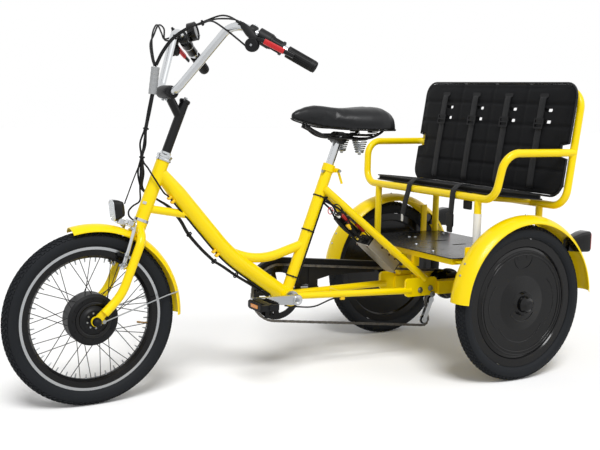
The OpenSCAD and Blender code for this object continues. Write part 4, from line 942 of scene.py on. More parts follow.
@dataclass
class Tyre:
    """One tyre, with its side walls and tread blocks."""

    name: str
    hub: Vector
    body: str
    section_r: float = 26.0
    middle_r: float = 229.0
    bead_angle: float = 138.0
    tread_angle: float = 58.0
    groove: float = 3.0
    blocks_round: int = 92
    rows: tuple[float, ...] = (-51.0, -34.0, -17.0, 0.0, 17.0, 34.0, 51.0)

    def skin(self, angle: float) -> float:
        """Gives the radius of the carcass about the section's middle at an angle from the crown."""
        if abs(angle) < self.tread_angle:
            return self.section_r - self.groove
        ridge = 0.5 if 64 < abs(angle) < 69 or 112 < abs(angle) < 118 else 0.0
        return self.section_r - 0.7 + ridge

    def build(self) -> None:
        """Builds the carcass and stands the tread blocks on it."""
        profile = []
        for step in range(-46, 47):
            angle = step * self.bead_angle / 46
            turn = math.radians(angle)
            reach = self.skin(angle)
            profile.append((reach * math.sin(turn), self.middle_r + reach * math.cos(turn)))
        Shape().turned(profile, self.hub, SIDEWAYS, 96, loop=True).piece(
            self.name + "_carcass", TYRE_RUBBER, self.body, "tyre_rubber", (self.name,), 60)
        spots = []
        for row, angle in enumerate(self.rows):
            turn = math.radians(angle)
            reach = self.section_r - self.groove - 0.3
            for i in range(self.blocks_round):
                around = 2 * math.pi * (i + 0.5 * (row % 2)) / self.blocks_round
                out = Vector((math.cos(around), 0, math.sin(around)))
                facing = out * math.cos(turn) + SIDEWAYS * math.sin(turn)
                place = self.hub + (out * (self.middle_r + reach * math.cos(turn))
                                    + SIDEWAYS * reach * math.sin(turn)) / 1000
                swing = math.radians(28 if row % 2 else -28)
                ahead = Vector((-math.sin(around), 0, math.cos(around)))
                spots.append(Spot(place, facing, ahead * math.cos(swing) + SIDEWAYS * math.sin(swing)))
        Scatter(self.name + "_tread", 4, 0.8, (11.0, 5.2, 3.2)).piece(
            spots, TYRE_RUBBER, self.body, "tyre_rubber")


@dataclass
class FrontWheel:
    """Front wheel with its hub motor."""

    rim_side: float = 15.0
    track: Pair = (201.5, 210.5)
    nipple_r: float = 176.0
    spokes: int = 36
    boss_r: float = 22.0
    boss_side: float = 36.0
    cover_r: float = 61.0
    cover_side: float = 28.0
    valve_angle: float = -10.0
    valve_foot_r: float = 177.5

    def build(self) -> None:
        """Builds the tyre and the fittings of the rim and the motor."""
        Tyre("tyre_front", FRONT_HUB, "front_wheel").build()
        self.rim()
        self.motor()
        self.valve()

    def rim(self) -> None:
        """Builds the brake tracks and stands the nipples in the rim."""
        ring = Shape()
        for side in (-1, 1):
            low, high = side * (self.rim_side - 0.4), side * (self.rim_side + 0.25)
            ring.turned([(low, self.track[0]), (high, self.track[0] + 0.5), (high, self.track[1] - 0.5),
                         (low, self.track[1])], FRONT_HUB, SIDEWAYS, 96, loop=True)
        ring.piece("rim_brake_tracks", ALUMINIUM, "front_wheel", "aluminium")
        spots = []
        for i in range(self.spokes):
            angle = 2 * math.pi * (i + 0.5) / self.spokes
            out = Vector((math.cos(angle), 0, math.sin(angle)))
            lean = SIDEWAYS * (3 if i % 2 else -3)
            spots.append(Spot(FRONT_HUB + (out * (self.nipple_r + 1.2) + lean) / 1000, -out, SIDEWAYS))
        heads("spoke_nipples", spots, 5.0, 13.0, "front_wheel", sides=8, taper=0.6)

    def motor(self) -> None:
        """Stands the screws on the motor and builds its rings and the axle's caps."""
        screws, covers = [], []
        for side in (-1, 1):
            screws += ring_spots(FRONT_HUB, SIDEWAYS * side, self.boss_r, self.boss_side - 0.3, 8, 10)
            covers += ring_spots(FRONT_HUB, SIDEWAYS * side, self.cover_r, self.cover_side - 0.3, 12)
        heads("hub_boss_screws", screws, 6.5, 2.6, "front_wheel", sides=12, taper=0.8)
        heads("hub_cover_screws", covers, 5.5, 1.8, "front_wheel", sides=12, taper=0.75,
              finish=BLACK_ENAMEL, slot="black_paint")
        ring = ((27.5, 54), (30.5, 53), (31.5, 51), (31.5, 44), (30, 42), (27.5, 41))
        Shape().turned_both(ring, FRONT_HUB, 64, loop=True).piece(
            "hub_cover_rings", GLOSS_ABS, "front_wheel", "black_paint")
        cap = ((53.6, 11), (53.6, 12.8), (58, 13.2), (64, 12.4), (69, 9.5), (72, 5), (72.6, 0))
        Shape().turned_both(cap, FRONT_HUB, 28).piece("axle_caps", SOFT_RUBBER, "steering", "soft_rubber")

    def valve(self) -> None:
        """Builds the tyre's valve."""
        turn = math.radians(self.valve_angle)
        out = Vector((math.cos(turn), 0, math.sin(turn)))
        stem = ((0, 3.2), (6, 3.2), (6.5, 2.4), (22, 2.4), (22.5, 3.4), (32, 3.0), (33, 2))
        foot = FRONT_HUB + out * self.valve_foot_r / 1000
        Shape().turned(stem, foot, -out, 14).piece("tyre_valve", BRASS, "front_wheel", "steel")


@dataclass
class RearWheel:
    """Rear wheel with its gloss cover."""

    name: str
    hub: Vector
    body: str
    outward: float

    def face(self, radius: float, angle: float, lift: float) -> Vector:
        """Finds a point on the cover's outer face.

        Args:
            radius: Distance from the hub, in mm.
            angle: Angle from the rear, upwards, in degrees.
            lift: Height over the face, in mm.

        Returns:
            The point.
        """
        levels = ((28, 30.0), (34, 30.0), (40, 20.0), (90, 13.0), (172, 16.0), (200, 16.0))
        height = levels[-1][1]
        for (r0, h0), (r1, h1) in zip(levels, levels[1:]):
            if r0 <= radius <= r1:
                height = h0 + (h1 - h0) * (radius - r0) / (r1 - r0)
        turn = math.radians(angle)
        return self.hub + Vector((radius * math.cos(turn), self.outward * (height + lift),
                                  radius * math.sin(turn))) / 1000

    def build(self) -> None:
        """Builds the tyre and the forms moulded on the cover."""
        Tyre("tyre_rear_" + self.name, self.hub, self.body).build()
        moulded = Shape()
        for start, end, radius in ((-38, 34, 128), (-140, -40, 118), (215, 150, 128)):
            steps = 24
            moulded.tube([self.face(radius + 10 * math.sin(math.pi * i / steps),
                                    start + (end - start) * i / steps, -0.6)
                          for i in range(steps + 1)], 1.8, 8)
        moulded.tube(smooth_path([self.face(58, a, 0) for a in range(215, 330, 10)]), 1.6, 8)
        moulded.piece("cover_moulding_" + self.name, GLOSS_ABS, self.body, "gloss_black_plastic")


@dataclass
class FrontEnd:
    """Headlamp, rim brake and stem fittings of the front fork."""

    lamp: Place = (-80.0, 0.0, 320.0)
    lamp_size: Place = (36.0, 40.0, 64.0)
    arm_x: float = -22.0
    arm_y: float = 46.0
    pad_s: float = 201.0
    clamp: Place = (-62.0, 0.0, 691.0)

    def lamp_rings(self, shares: Sequence[Pair], corner: float) -> list[list[Vector]]:
        """Lays outlines along the lamp's depth.

        Args:
            shares: Pairs of the share of the depth, from the back, and the scale of the outline.
            corner: Radius of the outline's corners, in mm.

        Returns:
            The rings of points.
        """
        ahead = Vector((-1, 0, -0.12)).normalized()
        depth, wide, high = self.lamp_size
        rings = []
        for share, scale in shares:
            seat = seat_at(steered(*self.lamp) + ahead * (share - 0.5) * depth / 1000, ahead, UPWARDS)
            rings.append(section(seat, rounded_outline(high * scale, wide * scale, corner * scale, 6)))
        return rings

    def headlamp(self) -> None:
        """Builds the lamp's body, its silvered lens, its chrome rim and its bracket."""
        body = ((0.0, 0.5), (0.06, 0.66), (0.4, 0.86), (0.78, 0.97), (0.9, 0.97), (0.91, 0.9))
        rim = ((0.93, 0.93), (0.93, 1.0), (0.985, 1.0), (1.0, 0.97), (1.0, 0.88), (0.93, 0.86))
        lens = ((0.9, 0.87), (0.985, 0.86), (1.01, 0.7), (1.025, 0.4), (1.03, 0.1))
        for name, shares, corner, finish, slot in (("body", body, 13, GLOSS_ABS, "gloss_black_plastic"),
                                                   ("rim", rim, 14, CHROME, "chrome"),
                                                   ("lens", lens, 13, CLEAR_ACRYLIC, "chrome")):
            Shape().loft(self.lamp_rings(shares, corner)).piece(
                "headlamp_" + name, finish, "steering", slot, ("headlamp",))
        path = steer_run(((-22.5, 0, 296), (-40, 0, 293), (-58, 0, 293), (-68, 0, 300)), 8)
        foot = seat_at(steered(-60, 0, 291), STEER_UP, SIDEWAYS)
        root = seat_at(steered(-31, 0, 296), STEER_UP, SIDEWAYS)
        bracket = Shape().strap(path, 24, 5, SIDEWAYS)
        bracket.block(foot, (26, 22, 18), 5).block(root, (32, 20, 16), 5)
        bracket.piece("headlamp_bracket", CHROME, "steering", "chrome", ("headlamp",))
        studs = [Spot(steered(-66, 0, 292), steer_way(0, 0, -1), SIDEWAYS),
                 Spot(steered(-30, 0, 297.5), STEER_UP, SIDEWAYS)]
        heads("headlamp_studs", studs, 9.0, 6.0, "steering", taper=0.95)

    def brake(self) -> None:
        """Builds the brake arms, their springs and pads, the noodle and the cable between them."""
        arms, pads, wire, bolts = Shape(), Shape(), Shape(), []
        ahead = steer_way(-1, 0, 0)
        arm = ((0.0, 0, 0, 164), (0.15, -1, 0, 182), (0.45, -3, 1, 220), (0.8, -5, -2, 262),
               (1.0, -6, -5, 289))
        for side in (-1, 1):
            rings = []
            for t, x, y, s in arm:
                middle = steered(self.arm_x + x, side * (self.arm_y + y), s)
                rings.append([middle + STEER_BACK * u / 1000 + SIDEWAYS * v / 1000
                              for u, v in rounded_outline(14 - 4 * t, 11 - 3 * t, 3.5, 3)])
            arms.loft(rings)
            pad = seat_at(steered(self.arm_x - 4, side * 22.5, self.pad_s), SIDEWAYS * side,
                          steer_way(1, 0, 0))
            pads.block(pad, (32, 11, 9), 4)
            arms.tube([steered(self.arm_x - 3, side * y, self.pad_s) for y in (27, 41)], 3.2, 12)
            coil = [steered(self.arm_x - 2 + 7 * math.cos(a * 0.5), side * (self.arm_y + 9 + 0.12 * a),
                            178 + 7 * math.sin(a * 0.5)) for a in range(36)]
            wire.tube(coil + [steered(self.arm_x - 2, side * (self.arm_y + 12), 214)], 0.9, 6)
            bolts.append(Spot(steered(self.arm_x - 8, side * self.arm_y, 172), ahead, UPWARDS))
            bolts.append(Spot(steered(self.arm_x - 3, side * (self.arm_y + 5), self.pad_s), SIDEWAYS * side,
                              UPWARDS))
            bolts.append(Spot(steered(self.arm_x - 11, side * (self.arm_y - 5), 283), ahead, UPWARDS))
        noodle = ((-29, -46, 285), (-31, -50, 297), (-31, -40, 307), (-28, -22, 308), (-26, -10, 306))
        arms.tube(steer_run(noodle, 8), 2.6, 10)
        arms.piece("brake_arms", CHROME, "steering", "aluminium", ("front_brake",))
        wire.tube([steered(-29, -42, 286), steered(-29, 42, 286)], 1.0, 6)
        wire.piece("brake_springs", ZINC_STEEL, "steering", "steel")
        pads.piece("brake_pads", SOFT_RUBBER, "steering", "soft_rubber", ("front_brake",))
        heads("brake_bolts", bolts, 9.0, 5.0, "steering")

    def stem(self) -> None:
        """Builds the stem's cap, clamp and bolts, the headset's nuts and the plate on the head tube."""
        top = [Spot(steered(0, 0, 692), STEER_UP, SIDEWAYS)]
        heads("stem_bolt", top, 13.0, 7.0, "steering")
        cap = ((0, 15.5), (0, 16.6), (4, 16.8), (7, 15), (8.5, 10), (8.6, 6))
        Shape().turned(cap, steered(0, 0, 685), STEER_UP, 32).piece(
            "stem_cap", BLACK_ENAMEL, "steering", "black_paint")
        x, _, s = self.clamp
        below = [Spot(steered(x, y, s - 20), steer_way(0, 0, -1), SIDEWAYS) for y in (-12, 12)]
        heads("clamp_bolts", below, 9.0, 6.0, "steering")
        clamp = ((-46, 12.3), (-46, 15), (-42, 18), (-24, 20), (24, 20), (42, 18), (46, 15), (46, 12.3))
        Shape().turned(clamp, steered(*self.clamp), SIDEWAYS, 36).piece(
            "bar_clamp", BLACK_NYLON, "steering", "black_paint")
        nuts = ((500, 20.2), (500, 23), (504, 24), (507, 22), (509, 21), (511, 24.4), (517, 24.4), (519, 22),
                (521, 19), (522, 17), (527, 16.6), (528, 14.2))
        Shape().turned(nuts, steered(0, 0, 0), STEER_UP, 40).piece(
            "headset_nuts", CHROME, "steering", "chrome")
        plate = seat_at(steered(-14.6, -14.6, 366), steer_way(-1, -1, 0), STEER_UP)
        Shape().block(plate, (9, 12, 3.4), 1.5, 0.8).piece("head_plate", CHROME, "frame", "chrome")

    def build(self) -> None:
        """Builds the lamp, the brake and the stem's fittings."""
        self.headlamp()
        self.brake()
        self.stem()


@dataclass
class Cockpit:
    """Fittings of the grips, levers, shifter and display on the handlebar."""

    end: Place = (174.0, 350.0, 868.0)
    along: Place = (0.788, 0.5825, -0.198)
    lever_at: float = 208.0
    # Distance from the bar's end, height and distance ahead, then the height and depth of the section
    housing: tuple[tuple[float, ...], ...] = (
        (232, 0, 18, 10, 12), (228, -2, 19, 16, 18), (206, -9, 21, 24, 24), (186, -16, 25, 22, 22),
        (172, -19, 29, 16, 18), (168, -19, 30, 11, 13))
    # Distance from the bar's end, height and distance ahead
    blade: Run = ((190, -20, 26), (166, -17, 32), (146, -14, 35), (112, -12.5, 35), (84, -11, 34),
                  (56, -9, 33))
    sleeve: Run = ((147, -14, 35), (112, -12.5, 35), (86, -11.1, 34.1))
    display_at: Pair = (162.0, 46.0)

    def hold(self, side: float, inward: float) -> Matrix:
        """Gives a frame on the handlebar: Z out along the grip and X up.

        Args:
            side: -1 for the left, 1 for the right.
            inward: Distance from the bar's end, in mm.

        Returns:
            The frame.
        """
        out = steer_way(self.along[0], self.along[1] * side, self.along[2])
        place = steered(self.end[0], self.end[1] * side, self.end[2]) - out * inward / 1000
        return seat_at(place, out, STEER_UP)

    def way(self, side: float, up: float, ahead: float) -> Vector:
        """Gives a direction square to a grip.

        Args:
            side: -1 for the left, 1 for the right.
            up: Share of the way up.
            ahead: Share of the way ahead.

        Returns:
            The direction, as long as its shares.
        """
        turned = self.hold(side, 0).to_3x3()
        forward = turned @ Vector((0, 1, 0))
        if forward.dot(STEER_BACK) > 0:
            forward.negate()
        return turned @ Vector((1, 0, 0)) * up + forward * ahead

    def spot(self, side: float, inward: float, up: float, ahead: float) -> Vector:
        """Finds a place beside the handlebar.

        Args:
            side: -1 for the left, 1 for the right.
            inward: Distance from the bar's end, in mm.
            up: Height over the bar's axis, in mm.
            ahead: Distance ahead of the bar's axis, in mm.

        Returns:
            The place.
        """
        return self.hold(side, inward).translation + self.way(side, up, ahead) / 1000

    def out(self, side: float) -> Vector:
        """Gives the direction out along a grip."""
        return self.hold(side, 0).to_3x3() @ UPWARDS

    def run(self, side: float, points: Run, steps: int) -> list[Vector]:
        """Runs a smooth curve through places that are given as spot takes them."""
        return smooth_path([self.spot(side, *p) for p in points], steps)

    def levers(self) -> None:
        """Builds the brake levers: clamps, housings, cable drums, blades and their sleeves."""
        body, blade, sleeve, screws = Shape(), Shape(), Shape(), []
        for side in (-1, 1):
            out = self.out(side)
            clamp = ((0, 12.3), (0, 17), (1.5, 18), (18.5, 18), (20, 17), (20, 12.3))
            body.turned(clamp, self.spot(side, self.lever_at, 0, 0), out, 32, loop=True)
            rings = []
            for inward, up, ahead, high, deep in self.housing:
                seat = seat_at(self.spot(side, inward, up, ahead), out, self.way(side, 1, 0))
                rings.append(section(seat, rounded_outline(high, deep, 4.5, 3)))
            body.loft(rings)
            axis = self.way(side, -0.3, 0.95)
            drum = self.spot(side, self.lever_at - 34, -37, 22)
            body.turned(((-11, 4), (-11, 17), (-9, 19), (-4, 19.6), (-3, 17.5), (3, 17.5), (4, 19.6), (9, 19),
                         (11, 17), (11.4, 4)), drum, axis, 36)
            adjuster = ((0, 4.6), (2, 6), (9, 6), (10, 4.4), (18, 4.2), (20, 3))
            body.turned(adjuster, self.spot(side, 229, 0, 18), -out, 18)
            across = self.way(side, 0.95, 0.3)
            blade.strap(self.run(side, self.blade, 5), 12, 7, across)
            sleeve.strap(self.run(side, self.sleeve, 6), 15.5, 10, across)
            screws.append(Spot(drum + axis * 0.0112, axis, out))
            screws.append(Spot(self.spot(side, 176, -8.5, 30), self.way(side, 1, 0.2), out))
            screws.append(Spot(self.spot(side, self.lever_at - 10, 18, 0), self.way(side, 1, 0), out))
        body.piece("lever_bodies", BLACK_NYLON, "steering", "black_plastic", ("brake_levers",))
        blade.piece("lever_blades", BLACK_ENAMEL, "steering", "black_plastic", ("brake_levers",))
        sleeve.piece("lever_sleeves", RED_SILICONE, "steering", "black_plastic", ("brake_levers",))
        heads("lever_screws", screws, 8.0, 2.6, "steering", sides=12, taper=0.85)

    def controls(self) -> None:
        """Builds the grips' end plugs and the shifter's window."""
        plugs = Shape()
        plug = ((3, 14), (5.2, 14.6), (6.6, 13.4), (7.2, 9), (6.4, 6), (6.3, 0))
        for side in (-1, 1):
            plugs.turned(plug, self.spot(side, 0, 0, 0), self.out(side), 28)
        plugs.piece("grip_plugs", BLACK_NYLON, "steering", "soft_rubber")
        pane = seat_at(self.spot(-1, 158, 20.6, -7.0), self.way(-1, 0.95, -0.32), self.out(-1))
        Shape().block(pane, (15, 9, 2.4), 3, 0.6).piece(
            "shifter_window", CLEAR_ACRYLIC, "steering", "black_plastic")

    def display(self) -> None:
        """Glazes the display and rings the throttle."""
        inward, up = self.display_at
        facing = self.way(1, 0.5, -0.866)
        centre = self.spot(1, inward, up, 0)
        pane = ((9.4, 24.6), (10.4, 24.6), (10.9, 23.4), (11.1, 12), (11.2, 0))
        Shape().turned(pane, centre, facing, 48).piece(
            "display_pane", DISPLAY_GLASS, "steering", "gloss_black_plastic")
        rim = ((10.6, 30.4), (12.4, 30.2), (13.4, 28.6), (13.2, 25.6), (10.8, 24.8))
        Shape().turned(rim, centre, facing, 48, loop=True).piece(
            "display_rim", BLACK_NYLON, "steering", "black_plastic")
        out = self.out(1)
        bands = Shape()
        band = ((0, 12.2), (0, 16.6), (1, 17), (4, 17), (5, 16.6), (5, 12.2))
        for inward_at in (108.6, 150.4):
            bands.turned(band, self.spot(1, inward_at, 0, 0), out, 36, loop=True)
        bands.piece("throttle_bands", CHROME, "steering", "chrome")
        keys = [Spot(centre + facing * 0.0125 + side * 0.0275, facing, out)
                for side in (self.way(1, 0.866, 0.5), self.way(1, -0.866, -0.5), out)]
        heads("display_keys", keys, 4.0, 2.6, "steering", sides=12, taper=0.8)

    def build(self) -> None:
        """Builds everything on the handlebar."""
        self.levers()
        self.controls()
        self.display()


@dataclass
class Cables:
    """Cables of the handlebar, their sleeve and their ways down the frame."""

    radius: float = 2.6
    bundle_r: float = 2.9
    bundle_spread: float = 3.4
    down_r: float = 26.0
    near: tuple[Run, ...] = (
        ((-2, -224, 914), (-16, -176, 930), (-24, -134, 940), (-34, -98, 938), (-57, -64, 912)),
        ((-29, -197, 924), (-34, -160, 926), (-46, -108, 922), (-60, -66, 906)),
        ((14, -246, 858), (-16, -226, 872), (-46, -180, 893), (-62, -126, 908), (-63, -66, 902)))
    far: tuple[Run, ...] = (
        ((-10, 232, 902), (-48, 204, 872), (-80, 160, 874), (-112, 118, 880), (-132, 90, 874),
         (-144, 60, 842)),
        ((40, 244, 930), (-8, 214, 892), (-52, 188, 866), (-82, 150, 888), (-118, 108, 882), (-140, 56, 838)))
    trunk: Run = ((-84, -42, 882), (-108, -18, 840), (-119, -6, 794), (-122, 0, 750))
    far_trunk: Run = ((-144, 38, 806), (-134, 12, 766), (-123, 1, 746))
    sleeve: Run = ((-122, 0, 744), (-113, 0, 710), (-102, 0, 668))
    drop: Run = ((-103, 0, 674), (-94, 0, 620), (-85, 0, 568), (-76, 0, 524), (-66, 0, 487), (-50, 4, 446),
                 (-34, 13, 414), (-12, 30, 400), (14, 31, 394), (40, 26, 389))
    # Share of the bundle's spread at each place of the drop
    drop_spread: tuple[float, ...] = (1, 1, 0.8, 3.0, 0.7, 3.2, 1.4, 1, 1, 1)
    run: Run = ((-1051, 23, 563), (-1016, 22, 522), (-997, 6, 482), (-958, 0, 436), (-913, 0, 394))
    low_run: Run = ((-913, 0, 394), (-880, 2, 374), (-838, 3, 345), (-780, 3, 309), (-722, 2, 269))
    lead: Run = ((-94, -6, 600), (-85, -6, 568), (-69, -6, 487), (-68, -4, 410), (-67, -2, 342))
    hose: Run = ((-64, 4, 480), (-46, 14, 440), (-26, 27, 400), (-13, 29, 368), (-28, 29, 346),
                 (-38, 20, 328), (-36, 8, 314), (-26, -10, 306.5))
    stay_run: Run = ((-668, -12, 236), (-628, -22, 231), (-570, -34, 229), (-500, -39, 250),
                     (-440, -47, 250.5), (-300, -64, 247.5))
    # The down tube's middle line, as places along the tricycle and heights
    down_line: tuple[Pair, ...] = ((-992, 555), (-950, 506), (-906, 456), (-866, 415), (-820, 378),
                                   (-760, 336), (-704, 297))

    def fan(self, index: int, spread: float) -> tuple[float, float]:
        """Gives the sideways places of one cable in a bundle.

        Args:
            index: Number of the cable.
            spread: Distance from the bundle's middle, in mm.

        Returns:
            The two offsets, in mm.
        """
        angle = math.radians(30 + 120 * index)
        return spread * math.cos(angle), spread * math.sin(angle)

    def at_bar(self) -> None:
        """Runs the cables from the levers to the sleeve and ties them."""
        cables = Shape()
        for paths, trunk in ((self.near, self.trunk), (self.far, self.far_trunk)):
            for i, path in enumerate(paths):
                u, v = self.fan(i, 3.2)
                points = [*path, *((x + u, y + v, s) for x, y, s in trunk)]
                cables.tube(steer_run(points), self.radius, 10)
        cables.piece("bar_cable_runs", SOFT_RUBBER, "steering", "soft_rubber", ("bar_cables",))
        sleeve = steer_run(self.sleeve, 8)
        radii = [12.2 + 0.4 * math.sin(i * 1.9) for i in range(len(sleeve))]
        Shape().tube(sleeve, radii, 18).piece(
            "cable_sleeve", GREY_SLEEVE, "steering", "soft_rubber", ("bar_cables",))
        ties = Shape()
        for place, axis, size in (((-60, -65, 907), (-22, 24, -25), 6.4),
                                  ((-106, -20, 844), (-24, 24, -42), 6.4),
                                  ((-85, -2, 568), (9, 0, -44), 7.0), ((-66, -2, 487), (12, 0, -40), 7.0)):
            ties.tie(steered(*place), steer_way(*axis), size, steer_way(-1, 0, 0), 0.1)
        ties.piece("bar_cable_ties", BLACK_NYLON, "steering", "black_plastic")

    def bent(self, shape: Shape, name: str) -> None:
        """Makes a piece of the cables between the steering and the frame, on no body, with its transform
        baked in.

        Args:
            shape: Its form.
            name: Its name.
        """
        piece = shape.piece(name, SOFT_RUBBER, "", "soft_rubber", ("bar_cables",))
        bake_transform(piece)

    def crossing(self) -> None:
        """Runs the cables from the sleeve round the head tube to the down tube."""
        bundle = Shape()
        for i in range(3):
            u, v = self.fan(i, self.bundle_spread)
            points = [steered(x + u * w, y + v * w * 0.5, s)
                      for (x, y, s), w in zip(self.drop, self.drop_spread)]
            points += [by_rear(x + u, y + v, z) for x, y, z in self.run]
            bundle.tube(smooth_path(points, 6), self.bundle_r, 10)
        self.bent(bundle, "head_bundle")
        single = [steered(-101, -5, 670), steered(-92, -5, 618), steered(-84, -5, 568), steered(-66, -6, 487),
                  steered(-42, -20, 461), steered(-13, -31, 437), by_rear(-1092, -26, 614),
                  by_rear(-1071, -13, 600), by_rear(-1036, -9, 562), by_rear(-1012.8, -9, 536.9)]
        self.bent(Shape().tube(smooth_path(single, 6), self.radius, 10), "near_cable")
        leads = Shape().tube(steer_run(self.lead), 2.0, 8).tube(steer_run(self.hose), self.radius, 10)
        leads.piece("lamp_and_brake_leads", SOFT_RUBBER, "steering", "soft_rubber", ("bar_cables",))

    def down(self) -> None:
        """Runs the cables under the down tube, behind the seat tube and under the chain stay."""
        lines, ties, guides = Shape(), Shape(), Shape()
        under, low = Vector((-0.754, 0, -0.657)), Vector((-0.575, 0, -0.819))
        mid = (under + low).normalized()
        gap = (self.down_r + self.bundle_r) / 1000
        ways = (under, under, under, mid, low, low, low)
        near = [by_rear(x, -9, z) + way * gap * 0.955 for (x, z), way in zip(self.down_line, ways)]
        lines.tube(smooth_path(near, 6), self.radius, 10)
        for i in range(3):
            u, v = self.fan(i, self.bundle_spread)
            lines.tube(rear_run([(x + u, y + v, z) for x, y, z in self.low_run]), self.bundle_r, 10)
        axis, behind = Vector((0.350, 0, 0.937)), Vector((0.890, -0.31, -0.333)).normalized()
        foot = by_rear(-660, 0, 266)
        lines.tube([foot + axis * s / 1000 + behind * 0.0211 for s in (64, 120, 180, 240, 300, 344)], 3.0, 10)
        lines.tube(rear_run(self.stay_run), 2.5, 10)
        lines.piece("frame_cable_runs", SOFT_RUBBER, "frame", "soft_rubber", ("frame_cables",))
        steep, flat = Vector((0.66, 0, -0.75)), Vector((0.82, 0, -0.57))
        for x, z, way, line in ((-997, 482, under, steep), (-913, 394, under, steep), (-838, 345, low, flat),
                                (-755, 291, low, flat)):
            ties.tie(by_rear(x, 2, z), line, 7.6, -way, 0.1)
        for s in (66, 222, 338):
            ties.tie(foot + axis * s / 1000, axis, 18.2, behind, 2.6)
        ties.piece("frame_cable_ties", BLACK_NYLON, "frame", "black_plastic")
        for x, z in ((-1040, 609.6), (-893, 440.7)):
            seat = seat_at(by_rear(x, -11, z) + under * 0.029, under, Vector((0.656, 0, -0.754)))
            for along in (-8, 8):
                guides.block(shifted(seat, x=along), (8, 16, 14), 3)
        guides.block(seat_at(by_rear(-469, -44, 249), -UPWARDS, Vector((1, -0.12, 0))), (16, 11, 9), 3)
        guides.piece("cable_guides", YELLOW_NYLON, "frame", "yellow_paint")

    def build(self) -> None:
        """Runs all cables."""
        self.at_bar()
        self.crossing()
        self.down()


@dataclass
class Saddle:
    """Padded saddle with its binding, its rails and its hanging springs."""

    # Place along the tricycle, half the width, height of the crown and of the lower edge
    stations: tuple[tuple[float, float, float, float], ...] = (
        (-650, 4, 845, 834), (-645, 12, 852, 829), (-630, 20, 861, 823), (-600, 26, 870, 815),
        (-570, 31, 873, 808), (-540, 38, 872, 802), (-510, 50, 869, 799), (-476, 66, 866.5, 797),
        (-440, 82, 867, 796), (-400, 97, 870, 795.5), (-367, 105, 872, 795.5), (-340, 106, 870, 796),
        (-318, 98, 861, 796), (-305, 84, 850, 797), (-298, 64, 838, 799), (-295, 40, 828, 803))
    under: float = 809.5
    inset: float = 2.5
    spring: tuple[float, float, float, float] = (-424.0, 52.0, 769.0, 727.0)

    def ring(self, x: float, half: float, top: float, low: float) -> list[Vector]:
        """Draws the saddle's section.

        Args:
            x: Place along the tricycle, in mm.
            half: Half its width, in mm.
            top: Height of its crown, in mm.
            low: Height of its lower edge, in mm.

        Returns:
            The section's points.
        """
        half, top, low = half - self.inset, top - self.inset, low + self.inset
        groove = 4.0 * max(0.0, min(1.0, (x + 560) / 120)) if x < -330 else 3.0
        points = []
        for step in range(25):
            angle = math.pi * step / 24
            y = half * math.copysign(abs(math.cos(angle)) ** 0.8, math.cos(angle))
            z = low + (top - low) * math.sin(angle) ** 0.72
            points.append(by_rear(x, y, z - groove * math.exp(-(y / 11) ** 2)))
        rise = max(low + 1.0, min(self.under, top - 14))
        wall = max(half - 8, half * 0.5)
        hollow = ((-wall, low), (1 - wall, rise), (wall - 1, rise), (wall, low))
        return points + [by_rear(x, y, z) for y, z in hollow]

    def cushion(self) -> None:
        """Builds the padded top and its binding."""
        shape = Shape().loft([self.ring(*row) for row in self.stations])
        mesh = filled(shape, "saddle_cushion", 4.0, 3.0)
        piece = settle(mesh, "saddle_cushion", VINYL, "frame", ("saddle",), 70)
        side = [by_rear(x, half - 1.6, low + 1.8) for x, half, _, low in self.stations[1:]]
        other = [Vector((p.x, -p.y, p.z)) for p in reversed(side)]
        Shape().tube(smooth_path(side, 4) + smooth_path(other, 4), 2.2, 8, loop=True).piece(
            "saddle_binding", SOFT_RUBBER, "frame", "saddle_cover")

    def springs(self) -> None:
        """Hangs the conical springs under the black rails."""
        x, y, top, low = self.spring
        coil_r, taper, steps = 24, 11, 110
        washer = ((-3, 3.2), (-3, 13), (0, 15), (3, 13), (3, 3.2))
        rail = ((-602, 9, 813), (-560, 16, 784), (-520, 22, 772), (-470, 36, 770), (x, y, 770),
                (-384, 58, 773), (-350, 66, 790), (-338, 68, 806))
        rails, coils, nuts = Shape(), Shape(), []
        for side in (-1, 1):
            rails.tube(rear_run([(a, side * b, c) for a, b, c in rail]), 4.2, 12)
            rails.turned([(0, 26), (3, 26.6), (5, 24), (5.4, 8)], by_rear(x, side * y, top - 3), UPWARDS, 32)
            turns = []
            for step in range(steps + 1):
                reach, angle = coil_r - taper * step / steps, step * 0.3
                turns.append(by_rear(x + reach * math.cos(angle), side * y + reach * math.sin(angle),
                                     top - 4 - (top - low - 6) * step / steps))
            coils.tube(turns, 2.4, 8)
            coils.turned(washer, by_rear(x, side * y, low), UPWARDS, 28)
            coils.tube([by_rear(x, side * y, top), by_rear(x, side * y, low - 8)], 3.2, 12)
            nuts.append(Spot(by_rear(x, side * y, low - 3), -UPWARDS, SIDEWAYS))
        rails.tube([by_rear(x - 8, -y, 771), by_rear(x - 8, y, 771)], 4.2, 12)
        rails.block(seat_at(by_rear(-482, 0, 772), UPWARDS, SIDEWAYS), (52, 34, 20), 6)
        rails.piece("saddle_rails", BLACK_ENAMEL, "frame", "black_paint")
        coils.piece("saddle_springs", ZINC_STEEL, "frame", "steel")
        for side in (-1, 1):
            nuts.append(Spot(by_rear(-484, side * 26, 772), SIDEWAYS * side, UPWARDS))
        heads("saddle_nuts", nuts, 12.0, 7.0, "frame", taper=0.92)

    def build(self) -> None:
        """Builds the whole saddle."""
        self.cushion()
        self.springs()


